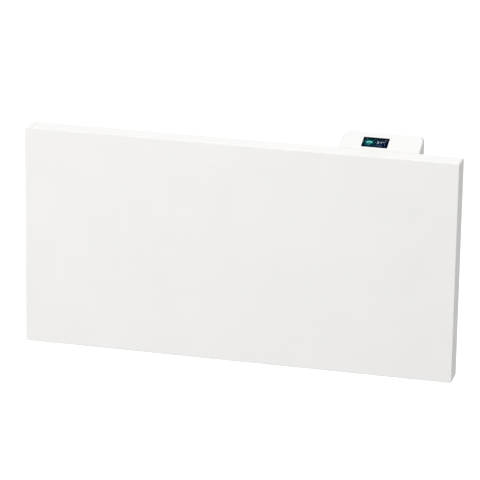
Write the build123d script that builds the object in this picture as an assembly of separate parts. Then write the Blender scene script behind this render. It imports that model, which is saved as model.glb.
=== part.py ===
from build123d import *
from math import cos, radians, sin, tan
import os

# Wall panel convector heater, in millimetres.
# X runs to the right as seen from the room, Y runs towards the wall, Z runs up.
# The origin is on the wall, at the centre of the bracket's four screw holes.

# Front tray: one folded steel sheet, open at the back
panel_width = 780.0
panel_height = 400.0
wall_distance = 93.0  # from the wall to the front face
tray_depth = 40.0
tray_sheet = 0.8
tray_corner = 4.0  # corner radius seen from the front
tray_front_bend = 2.0  # outside radius of the folded front edges
tray_flange = 18.0  # return folded inwards at the back
flange_corner = 4.0

# Rear casing: a pressed pan whose rim lies on the tray's flange
casing_sheet = 0.6
casing_depth = 20.0
casing_side_inset = 25.0  # from the tray's sides to the pan's sides
casing_top_inset = 22.0
casing_corner = 8.0
casing_bend = 2.0
rim_inset = 6.0
rim_corner = 6.0
bead_end_gap = 55.0  # from the pan's sides to the beads' ends
bead_height = 18.0
bead_corner = 8.5
bead_depth = 3.0
bead_upper_level = 40.0
bead_lower_level = -60.0

# Air slots, narrow enough to keep a finger and a tool out
slot_width = 3.5
slot_length = 32.0
slot_pitch = 40.0
slot_row_pitch = 7.0
slot_end_margin = 20.0
casing_slot_rows = 2
tray_slot_rows = 3

# Casing screws
screw_shank_radius = 1.5
screw_head_radius = 3.2
screw_head_height = 2.0
screw_head_round = 1.2
casing_screw_length = 6.0
casing_screw_end_inset = 47.0
casing_screw_middle = 117.0
casing_screw_side_inset = 70.0

# Heating element: a finned aluminium profile on a U of sheathed rod
element_end_gap = 100.0  # from the tray's sides to the profile's ends
element_front_gap = 23.2  # from the tray's sheet to the element's axis
element_bottom_gap = 90.0  # from the tray's lower edge to the element's axis
leg_spacing = 20.0
rod_radius = 3.25
rod_boss_radius = 5.0
rod_right_gap = 20.0  # from the casing's right side to the rod's ends
rod_left_gap = 23.0  # from the casing's left side to the rod's turn
web_height = 56.0
web_thickness = 2.0
wing_length = 17.0
wing_thickness = 1.2
wing_angle = 28.0
wing_spacing = 25.0
bush_radius = 5.0
bush_length = 8.0
bush_flange_radius = 7.0
bush_flange_thickness = 2.0
bracket_offset = 28.0  # from the profile's end to the element bracket
element_bracket_sheet = 1.5
element_bracket_height = 44.0
element_bracket_foot = 18.0
element_bracket_nose = 12.0  # past the rods, towards the front
terminal_radius = 2.0
terminal_length = 14.0
terminal_nut_radius = 4.0
terminal_nut_height = 3.2
terminal_nut_gap = 1.0

# Heat shield: a shallow channel between the element and the casing's back
shield_sheet = 0.6
shield_overhang = 10.0  # past the profile's ends
shield_edge_gap = 13.0  # from the casing's top and bottom
shield_standoff = 12.0
shield_lip = 8.0
cutout_inset = 50.0  # from the shield's right end
cutout_level = 20.0
cutout_radius = 8.0
cutout_depth = 8.0
cutout_cap_radius = 6.0
cutout_cap_height = 2.0
cutout_tab_length = 10.0
cutout_tab_width = 4.0
cutout_tab_thickness = 0.8

# Wires inside the casing
wire_radius = 1.3
wire_gap = 6.0
wire_from_back = 6.5  # from the casing's back to the wires' axes
wire_bend = 8.0
exit_bend = 5.0
grommet_inset = 24.0  # from the module's left side
grommet_rise = 30.0  # above the module's floor
grommet_hole_radius = 9.5
grommet_flange_radius = 11.5
grommet_flange_thickness = 1.2
earth_offset = 31.0  # to the left of the grommet
earth_drop = 5.0  # below the module's floor
stud_radius = 2.0
stud_nut_radius = 4.0
stud_nut_height = 3.0
stud_head_height = 1.2
stud_overhang = 1.0
clip_width = 6.0
upper_clip_drop = 30.0  # below the module's floor
lower_clip_level = -40.0

# Control module: a base box behind the casing and a cover with a sloping top
module_edge_inset = 78.0  # from the tray's right side to the module's
module_width = 144.0
module_wall_gap = 4.0
module_drop = 100.0  # from the tray's top down to the module's floor
module_base_height = 65.0
module_wall = 2.2
module_corner = 9.0
module_top_corner = 13.0  # corner radius of the cover's top seen from the front
module_edge_radius = 3.0
head_clearance = 0.4  # between the head's floor and the casing's top
slope_angle = 22.0
lip_thickness = 1.3
lip_height = 3.0
lip_clearance = 0.1

# Display in the sloping top
display_inset = 82.1  # from the module's right side to the display's middle
display_width = 46.0
display_height = 27.5
display_up_slope = 21.7  # from the tray's back edge to the display's middle
window_thickness = 1.5
window_corner = 1.0
window_clearance = 0.1
window_ledge = 1.5
panel_margin = 1.0
display_panel_thickness = 2.4
board_thickness = 1.6
display_board_width = 62.0
display_board_height = 34.0
display_post_radius = 2.2
display_post_x = 27.8
display_post_y = 12.4
small_screw_radius = 1.0
small_head_radius = 1.9
small_head_height = 1.2

# Power electronics in the module's base
board_height = 56.0
board_side_gap = 5.8  # from the module's inner left wall
board_end_gap = 27.8  # from the module's inner right wall, room for the gland
board_floor_gap = 2.0
board_from_back = 4.2
rail_width = 4.0
rail_depth = 4.0
rail_height = 42.0
rail_clearance = 0.2
part_edge_radius = 0.8  # on the moulded parts that stand on the board
relay_size = (19.0, 15.3, 15.5)
relay_place = (16.5, 12.0)  # middle, from the board's lower left corner
supply_size = (34.0, 15.0, 18.0)
supply_place = (23.0, 39.0)
film_size = (18.0, 14.0, 8.0)
film_place = (41.0, 10.0)
can_radius = 5.0
can_height = 16.0
can_places = ((52.0, 36.0), (66.0, 36.0))
terminal_size = (30.0, 14.0, 10.0)
terminal_inset = 22.0  # from the board's right edge to the terminal block's middle
terminal_rise = 8.0
terminal_poles = 5
terminal_entry_radius = 1.6
terminal_entry_depth = 6.0
terminal_well_depth = 2.5
ribbon_width = 12.0
ribbon_thickness = 0.6
ribbon_overlap = 6.0  # down the power board's face
column_radius = 4.0
column_inset = 3.2  # from the module's inner side walls
column_from_front = 3.4
cover_screw_length = 20.0
cover_screw_grip = 10.0
cover_head_radius = 2.6
head_side_clearance = 0.2
fixing_boss_radius = 3.5
fixing_boss_height = 5.0
fixing_screw_short = 1.0  # how far the fixing screws stop inside the bosses
fixing_places = ((42.0, 26.0), (112.0, 26.0), (68.0, 58.0))  # from the module's lower left corner

# Cable gland in the module's floor
gland_inset = 16.0  # from the module's right side
gland_from_wall = 17.0
gland_bore_radius = 4.0
gland_thread_radius = 6.0
gland_collar_radius = 8.5
gland_collar_height = 4.0
gland_tail_length = 10.0
gland_nut_height = 4.5
cap_radius = 8.0
cap_height = 11.0
cap_ribs = 12
cap_rib_depth = 0.6
cap_mouth_clearance = 0.5

# Room sensor in the module's floor
sensor_inset = 14.0  # from the module's left side
sensor_radius = 4.0
sensor_stem_radius = 2.5
sensor_height = 6.0
sensor_slot = 0.8
sensor_stem_overhang = 2.0

# Mains rocker switch in the module's right side
switch_level = 36.0  # above the module's floor
switch_from_wall = 16.5
bezel_height = 21.0
bezel_depth = 15.0
bezel_thickness = 2.0
switch_body_height = 19.0
switch_body_depth = 12.8
switch_body_length = 18.0
key_width = 11.0
key_half_height = 8.0
key_heel = 4.0  # behind the pivot
key_end_low = 0.6
key_end_high = 4.2  # the key's ends, in front of the pivot
key_dip = 2.6  # its middle, in front of the pivot
key_clearance = 0.25
switch_wall = 0.6
switch_cavity_depth = 6.5  # behind the key's pivot
switch_tab_length = 6.0
switch_tab_width = 4.8
switch_tab_thickness = 0.8
switch_tab_offset = 5.0
bezel_corner = 2.0
bezel_edge = 0.6
key_pivot_in = 1.0  # from the module's side in to the key's pivot
key_rock = 10.0  # degrees each way of the key's middle position
pivot_radius = 1.2
running_clearance = 0.05

# Wall bracket: two channels with cradles, joined by two crossbars
upright_gap = 28.0  # from the module's left side to the uprights' hole lines
bracket_sheet = 2.0
channel_width = 30.0
channel_depth = 14.0
channel_bend = 2.5
bracket_top_gap = 18.0  # from the casing's top to the shelves
shelf_gap = 28.0  # from the flanges' tops to the shelves
bracket_tail = 20.0  # web below the pivot
hole_drop = 50.0  # from the shelves to the upper screw holes
hole_radius = 2.75
shelf_depth = 30.0
shelf_corner = 4.0
cradle_radius = 8.5
cradle_lip = 6.0
pivot_from_wall = 19.0
pivot_rise = 48.0  # above the casing's bottom
pin_radius = 3.0
crossbar_sheet = 1.5
crossbar_height = 24.0
crossbar_drop = 30.0  # from the upper screw holes to the upper crossbar
crossbar_wall_gap = 3.5
rivet_radius = 2.0
rivet_head_radius = 3.5
rivet_head_height = 1.2
rivet_offset = 6.0
buffer_width = 20.0
buffer_height = 5.5
buffer_leg = 2.6
buffer_leg_thickness = 1.5
buffer_clearance = 0.3

# Hangers on the casing's back, with the pins that stand in the cradles
hanger_sheet = 2.0
hanger_height = 44.0
hanger_foot = 9.0
hanger_corner = 3.0
hanger_side_clearance = 0.5
ear_radius = 6.0
pin_overhang = 2.0
pin_head_radius = 4.5
pin_head_thickness = 1.5

# Turn locks on the bracket's shelves and their keepers on the casing
lock_from_wall = 15.0
lock_shaft_radius = 3.0
cam_reach = 14.0
cam_half_width = 3.5
cam_hub_radius = 5.0
cam_height = 6.0
lock_clearance = 0.3
lock_square = 4.2
knob_radius = 11.0
knob_height = 4.0
grip_height = 8.0
grip_thickness = 4.0
grip_inset = 1.0
grip_edge_radius = 1.2
knob_edge_radius = 1.0
keeper_sheet = 1.5
keeper_foot = 20.0
keeper_height = 18.0
keeper_arm_gap = 2.0  # past the cam's tip
keeper_tab_overlap = 7.0  # how far the cam reaches over the tab
keeper_tab_height = 10.0

# Levels and distances that follow from the sizes above
through = 1.0  # how far a cutting shape runs past what it cuts
tray_top = panel_height / 2
front_face = -wall_distance
tray_back = front_face + tray_depth
rim_back = tray_back + casing_sheet
casing_back = tray_back + casing_depth
casing_inside = casing_back - casing_sheet
casing_width = panel_width - 2 * casing_side_inset
casing_height = panel_height - 2 * casing_top_inset
casing_top = casing_height / 2
bead_length = casing_width - 2 * bead_end_gap

module_right = panel_width / 2 - module_edge_inset
module_left = module_right - module_width
module_middle = (module_left + module_right) / 2
module_back = -module_wall_gap
module_floor = tray_top - module_drop
parting_level = module_floor + module_base_height
head_floor = casing_top + head_clearance
slope = radians(slope_angle)
display_x = module_right - display_inset
board_face = module_back - module_wall - board_from_back - board_thickness
board_left = module_left + module_wall + board_side_gap
board_right = module_right - module_wall - board_end_gap
board_bottom = module_floor + module_wall + board_floor_gap
column_y = casing_back + module_wall + column_from_front
column_xs = (module_left + module_wall + column_inset, module_right - module_wall - column_inset)
gland_x = module_right - gland_inset
gland_top = module_floor + module_wall + gland_nut_height
gland_bottom = module_floor - gland_collar_height - gland_tail_length
sensor_x = module_left + sensor_inset
sensor_y = (casing_back + module_back) / 2
switch_y = -switch_from_wall
switch_z = module_floor + switch_level
key_pivot_x = module_right - key_pivot_in

element_length = panel_width - 2 * element_end_gap
element_y = front_face + tray_sheet + element_front_gap
element_level = -panel_height / 2 + element_bottom_gap
leg_levels = (element_level - leg_spacing / 2, element_level + leg_spacing / 2)
rod_right_end = casing_width / 2 - rod_right_gap
rod_left_end = -casing_width / 2 + rod_left_gap
shield_front = casing_inside - shield_standoff
shield_width = element_length + 2 * shield_overhang
shield_height = casing_height - 2 * shield_edge_gap
cutout_x = shield_width / 2 - cutout_inset
wire_y = casing_inside - wire_from_back
grommet_x = module_left + grommet_inset
grommet_level = module_floor + grommet_rise
earth_x = grommet_x - earth_offset
earth_level = module_floor - earth_drop
clip_levels = (module_floor - upper_clip_drop, lower_clip_level)

upright_x = module_left - upright_gap
bracket_top = casing_top - bracket_top_gap
channel_flange_top = bracket_top - shelf_gap
pivot_level = -casing_top + pivot_rise
hole_level = bracket_top - hole_drop
crossbar_level = hole_level - crossbar_drop
pivot_y = -pivot_from_wall
lock_y = -lock_from_wall
cam_top = bracket_top - bracket_sheet - lock_clearance
cam_bottom = cam_top - cam_height
knob_bottom = bracket_top + lock_clearance
keeper_arm_offset = cam_reach + keeper_arm_gap


def slab(size_x, size_z, y_low, y_high, radius=0.0, x=0.0, z=0.0):
    """A plate or block parallel to the wall, its corners rounded as seen from the front."""
    outline = RectangleRounded(size_x, size_z, radius) if radius > 0 else Rectangle(size_x, size_z)
    face = Plane(origin=(x, y_high, z), x_dir=(1, 0, 0), z_dir=(0, -1, 0)) * outline
    return extrude(face, amount=y_high - y_low)


def block(x_range, y_range, z_range):
    """A box given by its two limits along X, Y and Z."""
    ranges = (x_range, y_range, z_range)
    sizes = [abs(limits[1] - limits[0]) for limits in ranges]
    middle = [(limits[0] + limits[1]) / 2 for limits in ranges]
    return Pos(*middle) * Box(*sizes)


def rod(start, end, radius):
    """A round bar between two points."""
    run = Vector(*end) - Vector(*start)
    return extrude(Plane(origin=start, z_dir=run) * Circle(radius), amount=run.length)


def side_prism(points, x_low, x_high):
    """A shape whose outline, as (y, z) points, is seen from the side, between two x values."""
    face = Plane(origin=(x_low, 0, 0), x_dir=(0, 1, 0), z_dir=(1, 0, 0)) * Polygon(*points, align=None)
    return extrude(face, amount=x_high - x_low, dir=(1, 0, 0))


def hexagon(centre, axis, radius, height):
    """A hexagonal nut's outer form, starting at a point and running along an axis."""
    return extrude(Plane(origin=centre, z_dir=axis) * RegularPolygon(radius, 6), amount=height)


def flipped(shape):
    """The same shape on the other side of the heater's middle plane."""
    return mirror(shape, about=Plane.YZ)


def slot_rows(rows, x_low, x_high, y_middle, z_range):
    """Cutting shapes for rows of air slots in a level wall, in the given stretches of its width."""
    count = int((x_high - x_low - 2 * slot_end_margin) // slot_pitch)
    first = (x_low + x_high) / 2 - (count - 1) * slot_pitch / 2
    cutters = []
    for row in range(rows):
        y = y_middle + (row - (rows - 1) / 2) * slot_row_pitch
        for column in range(count):
            outline = Pos(first + column * slot_pitch, y, z_range[0]) * SlotOverall(slot_length, slot_width)
            cutters.append(extrude(outline, amount=z_range[1] - z_range[0]))
    return cutters


def casing_screw_places():
    """Where the casing's rim is screwed to the tray's flange, as (x, z)."""
    inset = (rim_inset + tray_flange) / 2
    level = panel_height / 2 - inset
    side = panel_width / 2 - inset
    outer = panel_width / 2 - casing_screw_end_inset
    row = (-outer, -casing_screw_middle, casing_screw_middle, outer)
    side_level = panel_height / 2 - casing_screw_side_inset
    places = [(x, z) for z in (-level, level) for x in row]
    places += [(x, z) for x in (-side, side) for z in (-side_level, side_level)]
    return places


# Front tray and rear casing


def front_panel():
    """The folded tray: plain front, deep returns, flange at the back, inlet slots in the lower return."""
    outer = slab(panel_width, panel_height, front_face, tray_back, tray_corner)
    outer = fillet(outer.faces().sort_by(Axis.Y)[0].edges(), tray_front_bend)
    inner_width = panel_width - 2 * tray_sheet
    inner_height = panel_height - 2 * tray_sheet
    hollow = slab(
        inner_width, inner_height, front_face + tray_sheet, tray_back - tray_sheet, tray_corner - tray_sheet
    )
    hollow = fillet(hollow.faces().sort_by(Axis.Y)[0].edges(), tray_front_bend - tray_sheet)
    opening = slab(
        panel_width - 2 * tray_flange,
        panel_height - 2 * tray_flange,
        tray_back - 2 * tray_sheet,
        tray_back + through,
        flange_corner,
    )
    tray = outer - hollow - opening
    lower = (-panel_height / 2 - through, -panel_height / 2 + tray_sheet + through)
    slots = slot_rows(
        tray_slot_rows, -casing_width / 2, casing_width / 2, front_face + tray_depth / 2, lower
    )
    holes = [
        rod((x, tray_back - tray_sheet - through, z), (x, tray_back + through, z), screw_shank_radius)
        for x, z in casing_screw_places()
    ]
    return tray - slots - holes


def bead(level, raised):
    """A stiffening bead pressed towards the wall: its outer form, or the hollow behind it."""
    inset = 0.0 if raised else casing_sheet
    low = casing_back - through if raised else casing_inside - through
    high = casing_back + bead_depth if raised else casing_inside + bead_depth
    height = bead_height - 2 * inset
    return slab(bead_length - 2 * inset, height, low, high, bead_corner - inset, z=level)


def rear_casing():
    """The pressed pan: rim, deep body with slots in its top and bottom walls, two beads on its back."""
    rim = slab(
        panel_width - 2 * rim_inset, panel_height - 2 * rim_inset, tray_back, rim_back, rim_corner
    )
    body = slab(casing_width, casing_height, tray_back, casing_back, casing_corner)
    body = fillet(body.faces().sort_by(Axis.Y)[-1].edges(), casing_bend)
    hollow = slab(
        casing_width - 2 * casing_sheet,
        casing_height - 2 * casing_sheet,
        tray_back - through,
        casing_inside,
        casing_corner - casing_sheet,
    )
    hollow = fillet(hollow.faces().sort_by(Axis.Y)[-1].edges(), casing_bend - casing_sheet)
    casing = rim + body
    for level in (bead_lower_level, bead_upper_level):
        casing += bead(level, True)
    casing -= hollow
    for level in (bead_lower_level, bead_upper_level):
        casing -= bead(level, False)
    slot_y = (rim_back + casing_back - casing_bend) / 2
    top_wall = (casing_top - casing_sheet - through, casing_top + through)
    bottom_wall = (-casing_top - through, -casing_top + casing_sheet + through)
    casing -= slot_rows(casing_slot_rows, -casing_width / 2, module_left, slot_y, top_wall)
    casing -= slot_rows(casing_slot_rows, -casing_width / 2, casing_width / 2, slot_y, bottom_wall)
    rim_holes = [
        rod((x, tray_back - through, z), (x, rim_back + through, z), screw_shank_radius)
        for x, z in casing_screw_places()
    ]
    casing -= rim_holes
    casing -= rod(
        (grommet_x, casing_inside - through, grommet_level),
        (grommet_x, casing_back + through, grommet_level),
        grommet_hole_radius,
    )
    casing -= [
        rod((x, casing_inside - through, z), (x, casing_back + through, z), screw_shank_radius)
        for x, z in fixing_points()
    ]
    stud = (earth_x, casing_inside - through, earth_level)
    casing -= rod(stud, (earth_x, casing_back + through, earth_level), stud_radius)
    return casing


def pan_head_screw(head_seat, direction, length):
    """A screw from the seat of its domed head along a direction, as (x, y, z)."""
    seat = Vector(*head_seat)
    along = Vector(*direction)
    shank = rod(seat, seat + along * length, screw_shank_radius)
    head = rod(seat, seat - along * screw_head_height, screw_head_radius)
    crown = head.faces().sort_by(lambda face: (face.center() - seat).dot(along))[0]
    head = fillet(crown.edges(), screw_head_round)
    return shank + head


def casing_screws():
    """The screws through the casing's rim, heads towards the wall."""
    return [
        pan_head_screw((x, rim_back, z), (0, -1, 0), casing_screw_length) for x, z in casing_screw_places()
    ]


# Heating element and what carries it


def element_section(radius):
    """The profile's web and bosses as a section seen from the side, bosses of the given radius."""
    section = Rectangle(web_thickness, web_height)
    for level in (-leg_spacing / 2, leg_spacing / 2):
        section += Pos(0, level) * Circle(radius)
    for level in (-wing_spacing, 0, wing_spacing):
        for side in (-1, 1):
            tilt = wing_angle * side if level >= 0 else -wing_angle * side
            wing = Pos(wing_length / 2, 0) * Rectangle(wing_length, wing_thickness)
            turned = Rot(0, 0, tilt if side > 0 else 180 + tilt) * wing
            section += Pos(0, level) * turned
    return section


def heating_element():
    """The extruded aluminium profile with its wings and the two bores for the rod."""
    plane = Plane(origin=(-element_length / 2, element_y, element_level), x_dir=(0, 1, 0), z_dir=(1, 0, 0))
    profile = extrude(plane * element_section(rod_boss_radius), amount=element_length)
    for level in leg_levels:
        reach = element_length / 2 + through
        profile -= rod((-reach, element_y, level), (reach, element_y, level), rod_radius)
    return profile


def heating_rod():
    """The sheathed rod: two legs and the half turn that joins them at the left."""
    left = rod_left_end + leg_spacing / 2
    low, high = leg_levels
    path = Line((rod_right_end, element_y, low), (left, element_y, low))
    path += ThreePointArc(
        (left, element_y, low), (left - leg_spacing / 2, element_y, element_level), (left, element_y, high)
    )
    path += Line((left, element_y, high), (rod_right_end, element_y, high))
    start = Plane(origin=(rod_right_end, element_y, low), z_dir=(-1, 0, 0))
    return sweep(start * Circle(rod_radius), path=path)


def element_bracket_x(side):
    """The x value of the bracket's face that looks at the profile, on one side."""
    return side * (element_length / 2 + bracket_offset)


def element_bushes():
    """Ceramic bushes that carry the rod's legs in the brackets, with a flange on the profile's side."""
    bushes = []
    for side in (-1, 1):
        face = element_bracket_x(side)
        for level in leg_levels:
            inner = face - side * bush_flange_thickness
            outer = face + side * bush_length
            bush = rod((inner, element_y, level), (face, element_y, level), bush_flange_radius)
            bush += rod((face, element_y, level), (outer, element_y, level), bush_radius)
            start = (inner - side * through, element_y, level)
            bush -= rod(start, (outer + side * through, element_y, level), rod_radius)
            bushes.append(bush)
    return bushes


def element_bracket():
    """The right-hand bracket: an arm with two holes and a foot on the casing's back."""
    face = element_bracket_x(1)
    levels = (element_level - element_bracket_height / 2, element_level + element_bracket_height / 2)
    nose = element_y - element_bracket_nose
    arm = block((face, face + element_bracket_sheet), (nose, casing_inside), levels)
    foot_back = casing_inside - element_bracket_sheet
    foot = block((face, face + element_bracket_foot), (foot_back, casing_inside), levels)
    corners = arm.edges().filter_by(Axis.X).group_by(Axis.Y)[0]
    arm = fillet(corners, element_bracket_nose / 2)
    bracket = arm + foot
    for level in leg_levels:
        start = (face - through, element_y, level)
        bracket -= rod(start, (face + element_bracket_sheet + through, element_y, level), bush_radius)
    return bracket


def element_terminals():
    """The threaded studs on the rod's right ends, each with two nuts."""
    terminals = []
    for level in leg_levels:
        start = (rod_right_end, element_y, level)
        stud = rod(start, (rod_right_end + terminal_length, element_y, level), terminal_radius)
        for offset in (terminal_nut_gap, terminal_length - terminal_nut_height - terminal_nut_gap):
            nut_start = (rod_right_end + offset, element_y, level)
            stud += hexagon(nut_start, (1, 0, 0), terminal_nut_radius, terminal_nut_height)
        terminals.append(stud)
    return terminals


def heat_shield():
    """A shallow channel whose lips lie on the casing's back, with a hole for the cut-out's cap."""
    half = shield_height / 2
    xs = (-shield_width / 2, shield_width / 2)
    shield = block(xs, (shield_front, shield_front + shield_sheet), (-half, half))
    for side in (-1, 1):
        edge = side * half
        shield += block(xs, (shield_front, casing_inside), (edge - side * shield_sheet, edge))
        lip_ys = (casing_inside - shield_sheet, casing_inside)
        shield += block(xs, lip_ys, (edge - side * shield_sheet, edge + side * shield_lip))
    hole_start = (cutout_x, shield_front - through, cutout_level)
    hole_end = (cutout_x, shield_front + shield_sheet + through, cutout_level)
    return shield - rod(hole_start, hole_end, cutout_cap_radius)


def overheat_cutout():
    """The snap-disc cut-out behind the shield, its cap through the shield and a tab at each side."""
    seat = shield_front + shield_sheet
    back = seat + cutout_depth
    body = rod((cutout_x, seat, cutout_level), (cutout_x, back, cutout_level), cutout_radius)
    cap_front = shield_front - cutout_cap_height
    body += rod((cutout_x, cap_front, cutout_level), (cutout_x, seat, cutout_level), cutout_cap_radius)
    reach = cutout_radius + cutout_tab_length
    xs = (cutout_x - reach, cutout_x + reach)
    ys = (wire_y - cutout_tab_thickness / 2, wire_y + cutout_tab_thickness / 2)
    zs = (cutout_level - cutout_tab_width / 2, cutout_level + cutout_tab_width / 2)
    return body + block(xs, ys, zs)


# Wires inside the casing


def wire(points, bends):
    """A round wire through points, with a bend of its own radius at each corner."""
    path = FilletPolyline(*points, radius=bends)
    run = Vector(*points[1]) - Vector(*points[0])
    start = Plane(origin=points[0], z_dir=run)
    return sweep(start * Circle(wire_radius), path=path)


def live_wire():
    """From the power board through the grommet to the cut-out's left tab."""
    x = grommet_x + wire_gap
    tab = cutout_x - cutout_radius - cutout_tab_length
    points = [
        (x, board_face, grommet_level),
        (x, wire_y, grommet_level),
        (x, wire_y, cutout_level),
        (tab, wire_y, cutout_level),
    ]
    return wire(points, [exit_bend, wire_bend])


def link_wire():
    """From the cut-out's right tab to the upper terminal."""
    tab = cutout_x + cutout_radius + cutout_tab_length
    x = rod_right_end + terminal_length / 2
    end = leg_levels[1] + terminal_radius
    turn = leg_levels[1] + element_bracket_height
    points = [
        (tab, wire_y, cutout_level),
        (x, wire_y, cutout_level),
        (x, wire_y, turn),
        (x, element_y, turn),
        (x, element_y, end),
    ]
    return wire(points, [wire_bend, wire_bend, wire_bend])


def neutral_wire():
    """From the power board through the grommet, under the element, to the lower terminal."""
    x = rod_right_end + terminal_length / 2
    low = element_level - leg_spacing / 2 - element_bracket_height / 2
    points = [
        (grommet_x, board_face, grommet_level),
        (grommet_x, wire_y, grommet_level),
        (grommet_x, wire_y, low),
        (x, wire_y, low),
        (x, element_y, low),
        (x, element_y, leg_levels[0] - terminal_radius),
    ]
    return wire(points, [exit_bend, wire_bend, wire_bend, wire_bend])


def earth_wire():
    """From the power board through the grommet to the casing's earth stud."""
    x = grommet_x - wire_gap
    points = [
        (x, board_face, grommet_level),
        (x, wire_y, grommet_level),
        (x, wire_y, earth_level),
        (earth_x + stud_radius, wire_y, earth_level),
    ]
    return wire(points, [exit_bend, wire_bend])


def earth_stud():
    """A stud through the casing's back, its flat head outside and a nut inside."""
    front = wire_y - wire_radius - stud_overhang
    stud = rod((earth_x, front, earth_level), (earth_x, casing_back, earth_level), stud_radius)
    nut_front = (earth_x, casing_inside - stud_nut_height, earth_level)
    stud += hexagon(nut_front, (0, 1, 0), stud_nut_radius, stud_nut_height)
    head_end = (earth_x, casing_back + stud_head_height, earth_level)
    return stud + rod((earth_x, casing_back, earth_level), head_end, stud_nut_radius)


def wire_clips():
    """Saddles on the casing's back that hold the wires' long runs."""
    clips = []
    for level in clip_levels:
        left = grommet_x - 2 * wire_radius
        last_wire = grommet_x + wire_gap if level > cutout_level else grommet_x
        right = last_wire + 2 * wire_radius
        zs = (level - clip_width / 2, level + clip_width / 2)
        clip = block((left, right), (wire_y - 2 * wire_radius, casing_inside), zs)
        for x in (grommet_x, grommet_x + wire_gap):
            clip -= rod((x, wire_y, zs[0] - through), (x, wire_y, zs[1] + through), wire_radius)
        clips.append(clip)
    return clips


def cable_grommet():
    """The rubber bush through the casing and the module's wall, with a hole for each wire."""
    ends = (casing_inside - grommet_flange_thickness, casing_back + module_wall + grommet_flange_thickness)

    def disc(y_low, y_high, radius):
        return rod((grommet_x, y_low, grommet_level), (grommet_x, y_high, grommet_level), radius)

    grommet = disc(ends[0], casing_inside, grommet_flange_radius)
    grommet += disc(casing_inside, casing_back + module_wall, grommet_hole_radius)
    grommet += disc(casing_back + module_wall, ends[1], grommet_flange_radius)
    for x in (grommet_x - wire_gap, grommet_x, grommet_x + wire_gap):
        start = (x, ends[0] - through, grommet_level)
        grommet -= rod(start, (x, ends[1] + through, grommet_level), wire_radius)
    return grommet


# Control module


def slope_height(y, depth=0.0):
    """Height of the sloping top at a distance from the wall, or of a plane this deep under it."""
    return tray_top + (y - tray_back) * tan(slope) - depth / cos(slope)


def slope_plane(along_x, along_slope, depth=0.0):
    """A plane on the sloping top or this deep under it, its normal pointing out of the slope."""
    y = tray_back + (display_up_slope + along_slope) * cos(slope) + depth * sin(slope)
    z = tray_top + (display_up_slope + along_slope) * sin(slope) - depth * cos(slope)
    return Plane(origin=(display_x + along_x, y, z), x_dir=(1, 0, 0), z_dir=(0, -sin(slope), cos(slope)))


def cover_form(inset):
    """The cover's outer form, or the same form drawn in by its wall and open at the bottom."""
    low = parting_level if inset == 0 else parting_level - through
    front = rim_back + inset
    back = module_back - inset
    outline = [
        (front, head_floor + inset),
        (front, slope_height(front, inset)),
        (back, slope_height(back, inset)),
        (back, low),
        (casing_back + inset, low),
        (casing_back + inset, head_floor + inset),
    ]
    form = side_prism(outline, module_left + inset, module_right - inset)
    upright_corners = form.edges().filter_by(Axis.Z).group_by(Axis.Y)[-1]
    form = fillet(upright_corners, module_corner - inset)
    top = form.faces().filter_by(lambda face: abs(face.normal_at().Z - cos(slope)) < 0.001)[0]
    rounded = [edge for edge in top.edges() if edge.center().Y > front + through]
    form = fillet(rounded, module_edge_radius - inset)
    top_level = slope_height(back, inset)
    height = 2 * (top_level - module_floor)
    width = module_width - 2 * inset
    middle = top_level - height / 2
    radius = module_top_corner - inset
    return form & slab(width, height, front - through, back + through, radius, module_middle, middle)


def base_form(inset, low, high):
    """The base's plan, drawn in by an inset, between two levels."""
    width = module_width - 2 * inset
    depth = module_back - casing_back - 2 * inset
    y_middle = (module_back + casing_back) / 2
    form = block(
        (module_middle - width / 2, module_middle + width / 2),
        (y_middle - depth / 2, y_middle + depth / 2),
        (low, high),
    )
    return fillet(form.edges().filter_by(Axis.Z).group_by(Axis.Y)[-1], module_corner - inset)


def module_cover():
    """The cover: sloping top with the display's pocket, posts for its screws, lip for the base."""
    cover = cover_form(0.0) - cover_form(module_wall)
    lip_inner = module_wall + lip_clearance + lip_thickness
    collar = base_form(module_wall, parting_level, parting_level + lip_height)
    collar += base_form(module_wall + lip_clearance, parting_level - lip_height, parting_level)
    collar -= base_form(lip_inner, parting_level - 2 * lip_height, parting_level + 2 * lip_height)
    cover += collar
    for x in column_xs:
        top = slope_height(column_y, module_wall / 2)
        cover += rod((x, column_y, parting_level), (x, column_y, top), column_radius) & cover_form(0.0)
        grip = parting_level + cover_screw_length - cover_screw_grip
        start = (x, column_y, parting_level - through)
        cover -= rod(start, (x, column_y, grip), screw_shank_radius)
        below = (x, column_y, parting_level - 2 * lip_height)
        cover -= rod(below, (x, column_y, parting_level), column_radius + lip_clearance)
    for x in (-display_post_x, display_post_x):
        for y in (-display_post_y, display_post_y):
            base = slope_plane(x, y, module_wall + display_panel_thickness)
            post_height = display_panel_thickness + module_wall / 2
            cover += extrude(base * Circle(display_post_radius), amount=post_height)
            cover -= extrude(base * Circle(small_screw_radius), amount=display_panel_thickness)
    pocket = RectangleRounded(
        display_width + 2 * window_clearance, display_height + 2 * window_clearance, window_corner
    )
    cover -= extrude(slope_plane(0, 0, window_thickness) * pocket, amount=window_thickness + through)
    sight = slope_plane(0, 0, module_wall + through) * Rectangle(
        display_width - 2 * window_ledge, display_height - 2 * window_ledge
    )
    return cover - extrude(sight, amount=module_wall + 2 * through)


def fixing_points():
    """Where the module's base is screwed to the casing's back, as (x, z)."""
    return [(module_left + x, module_floor + z) for x, z in fixing_places]


def rail(x_low, x_high):
    """A standing rail on the base's back wall, with a groove for the power board's edge."""
    back = module_back - module_wall
    front = board_face - rail_depth / 2
    top = board_bottom + rail_height
    return block((x_low, x_high), (front, back + through), (module_floor + module_wall / 2, top))


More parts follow.
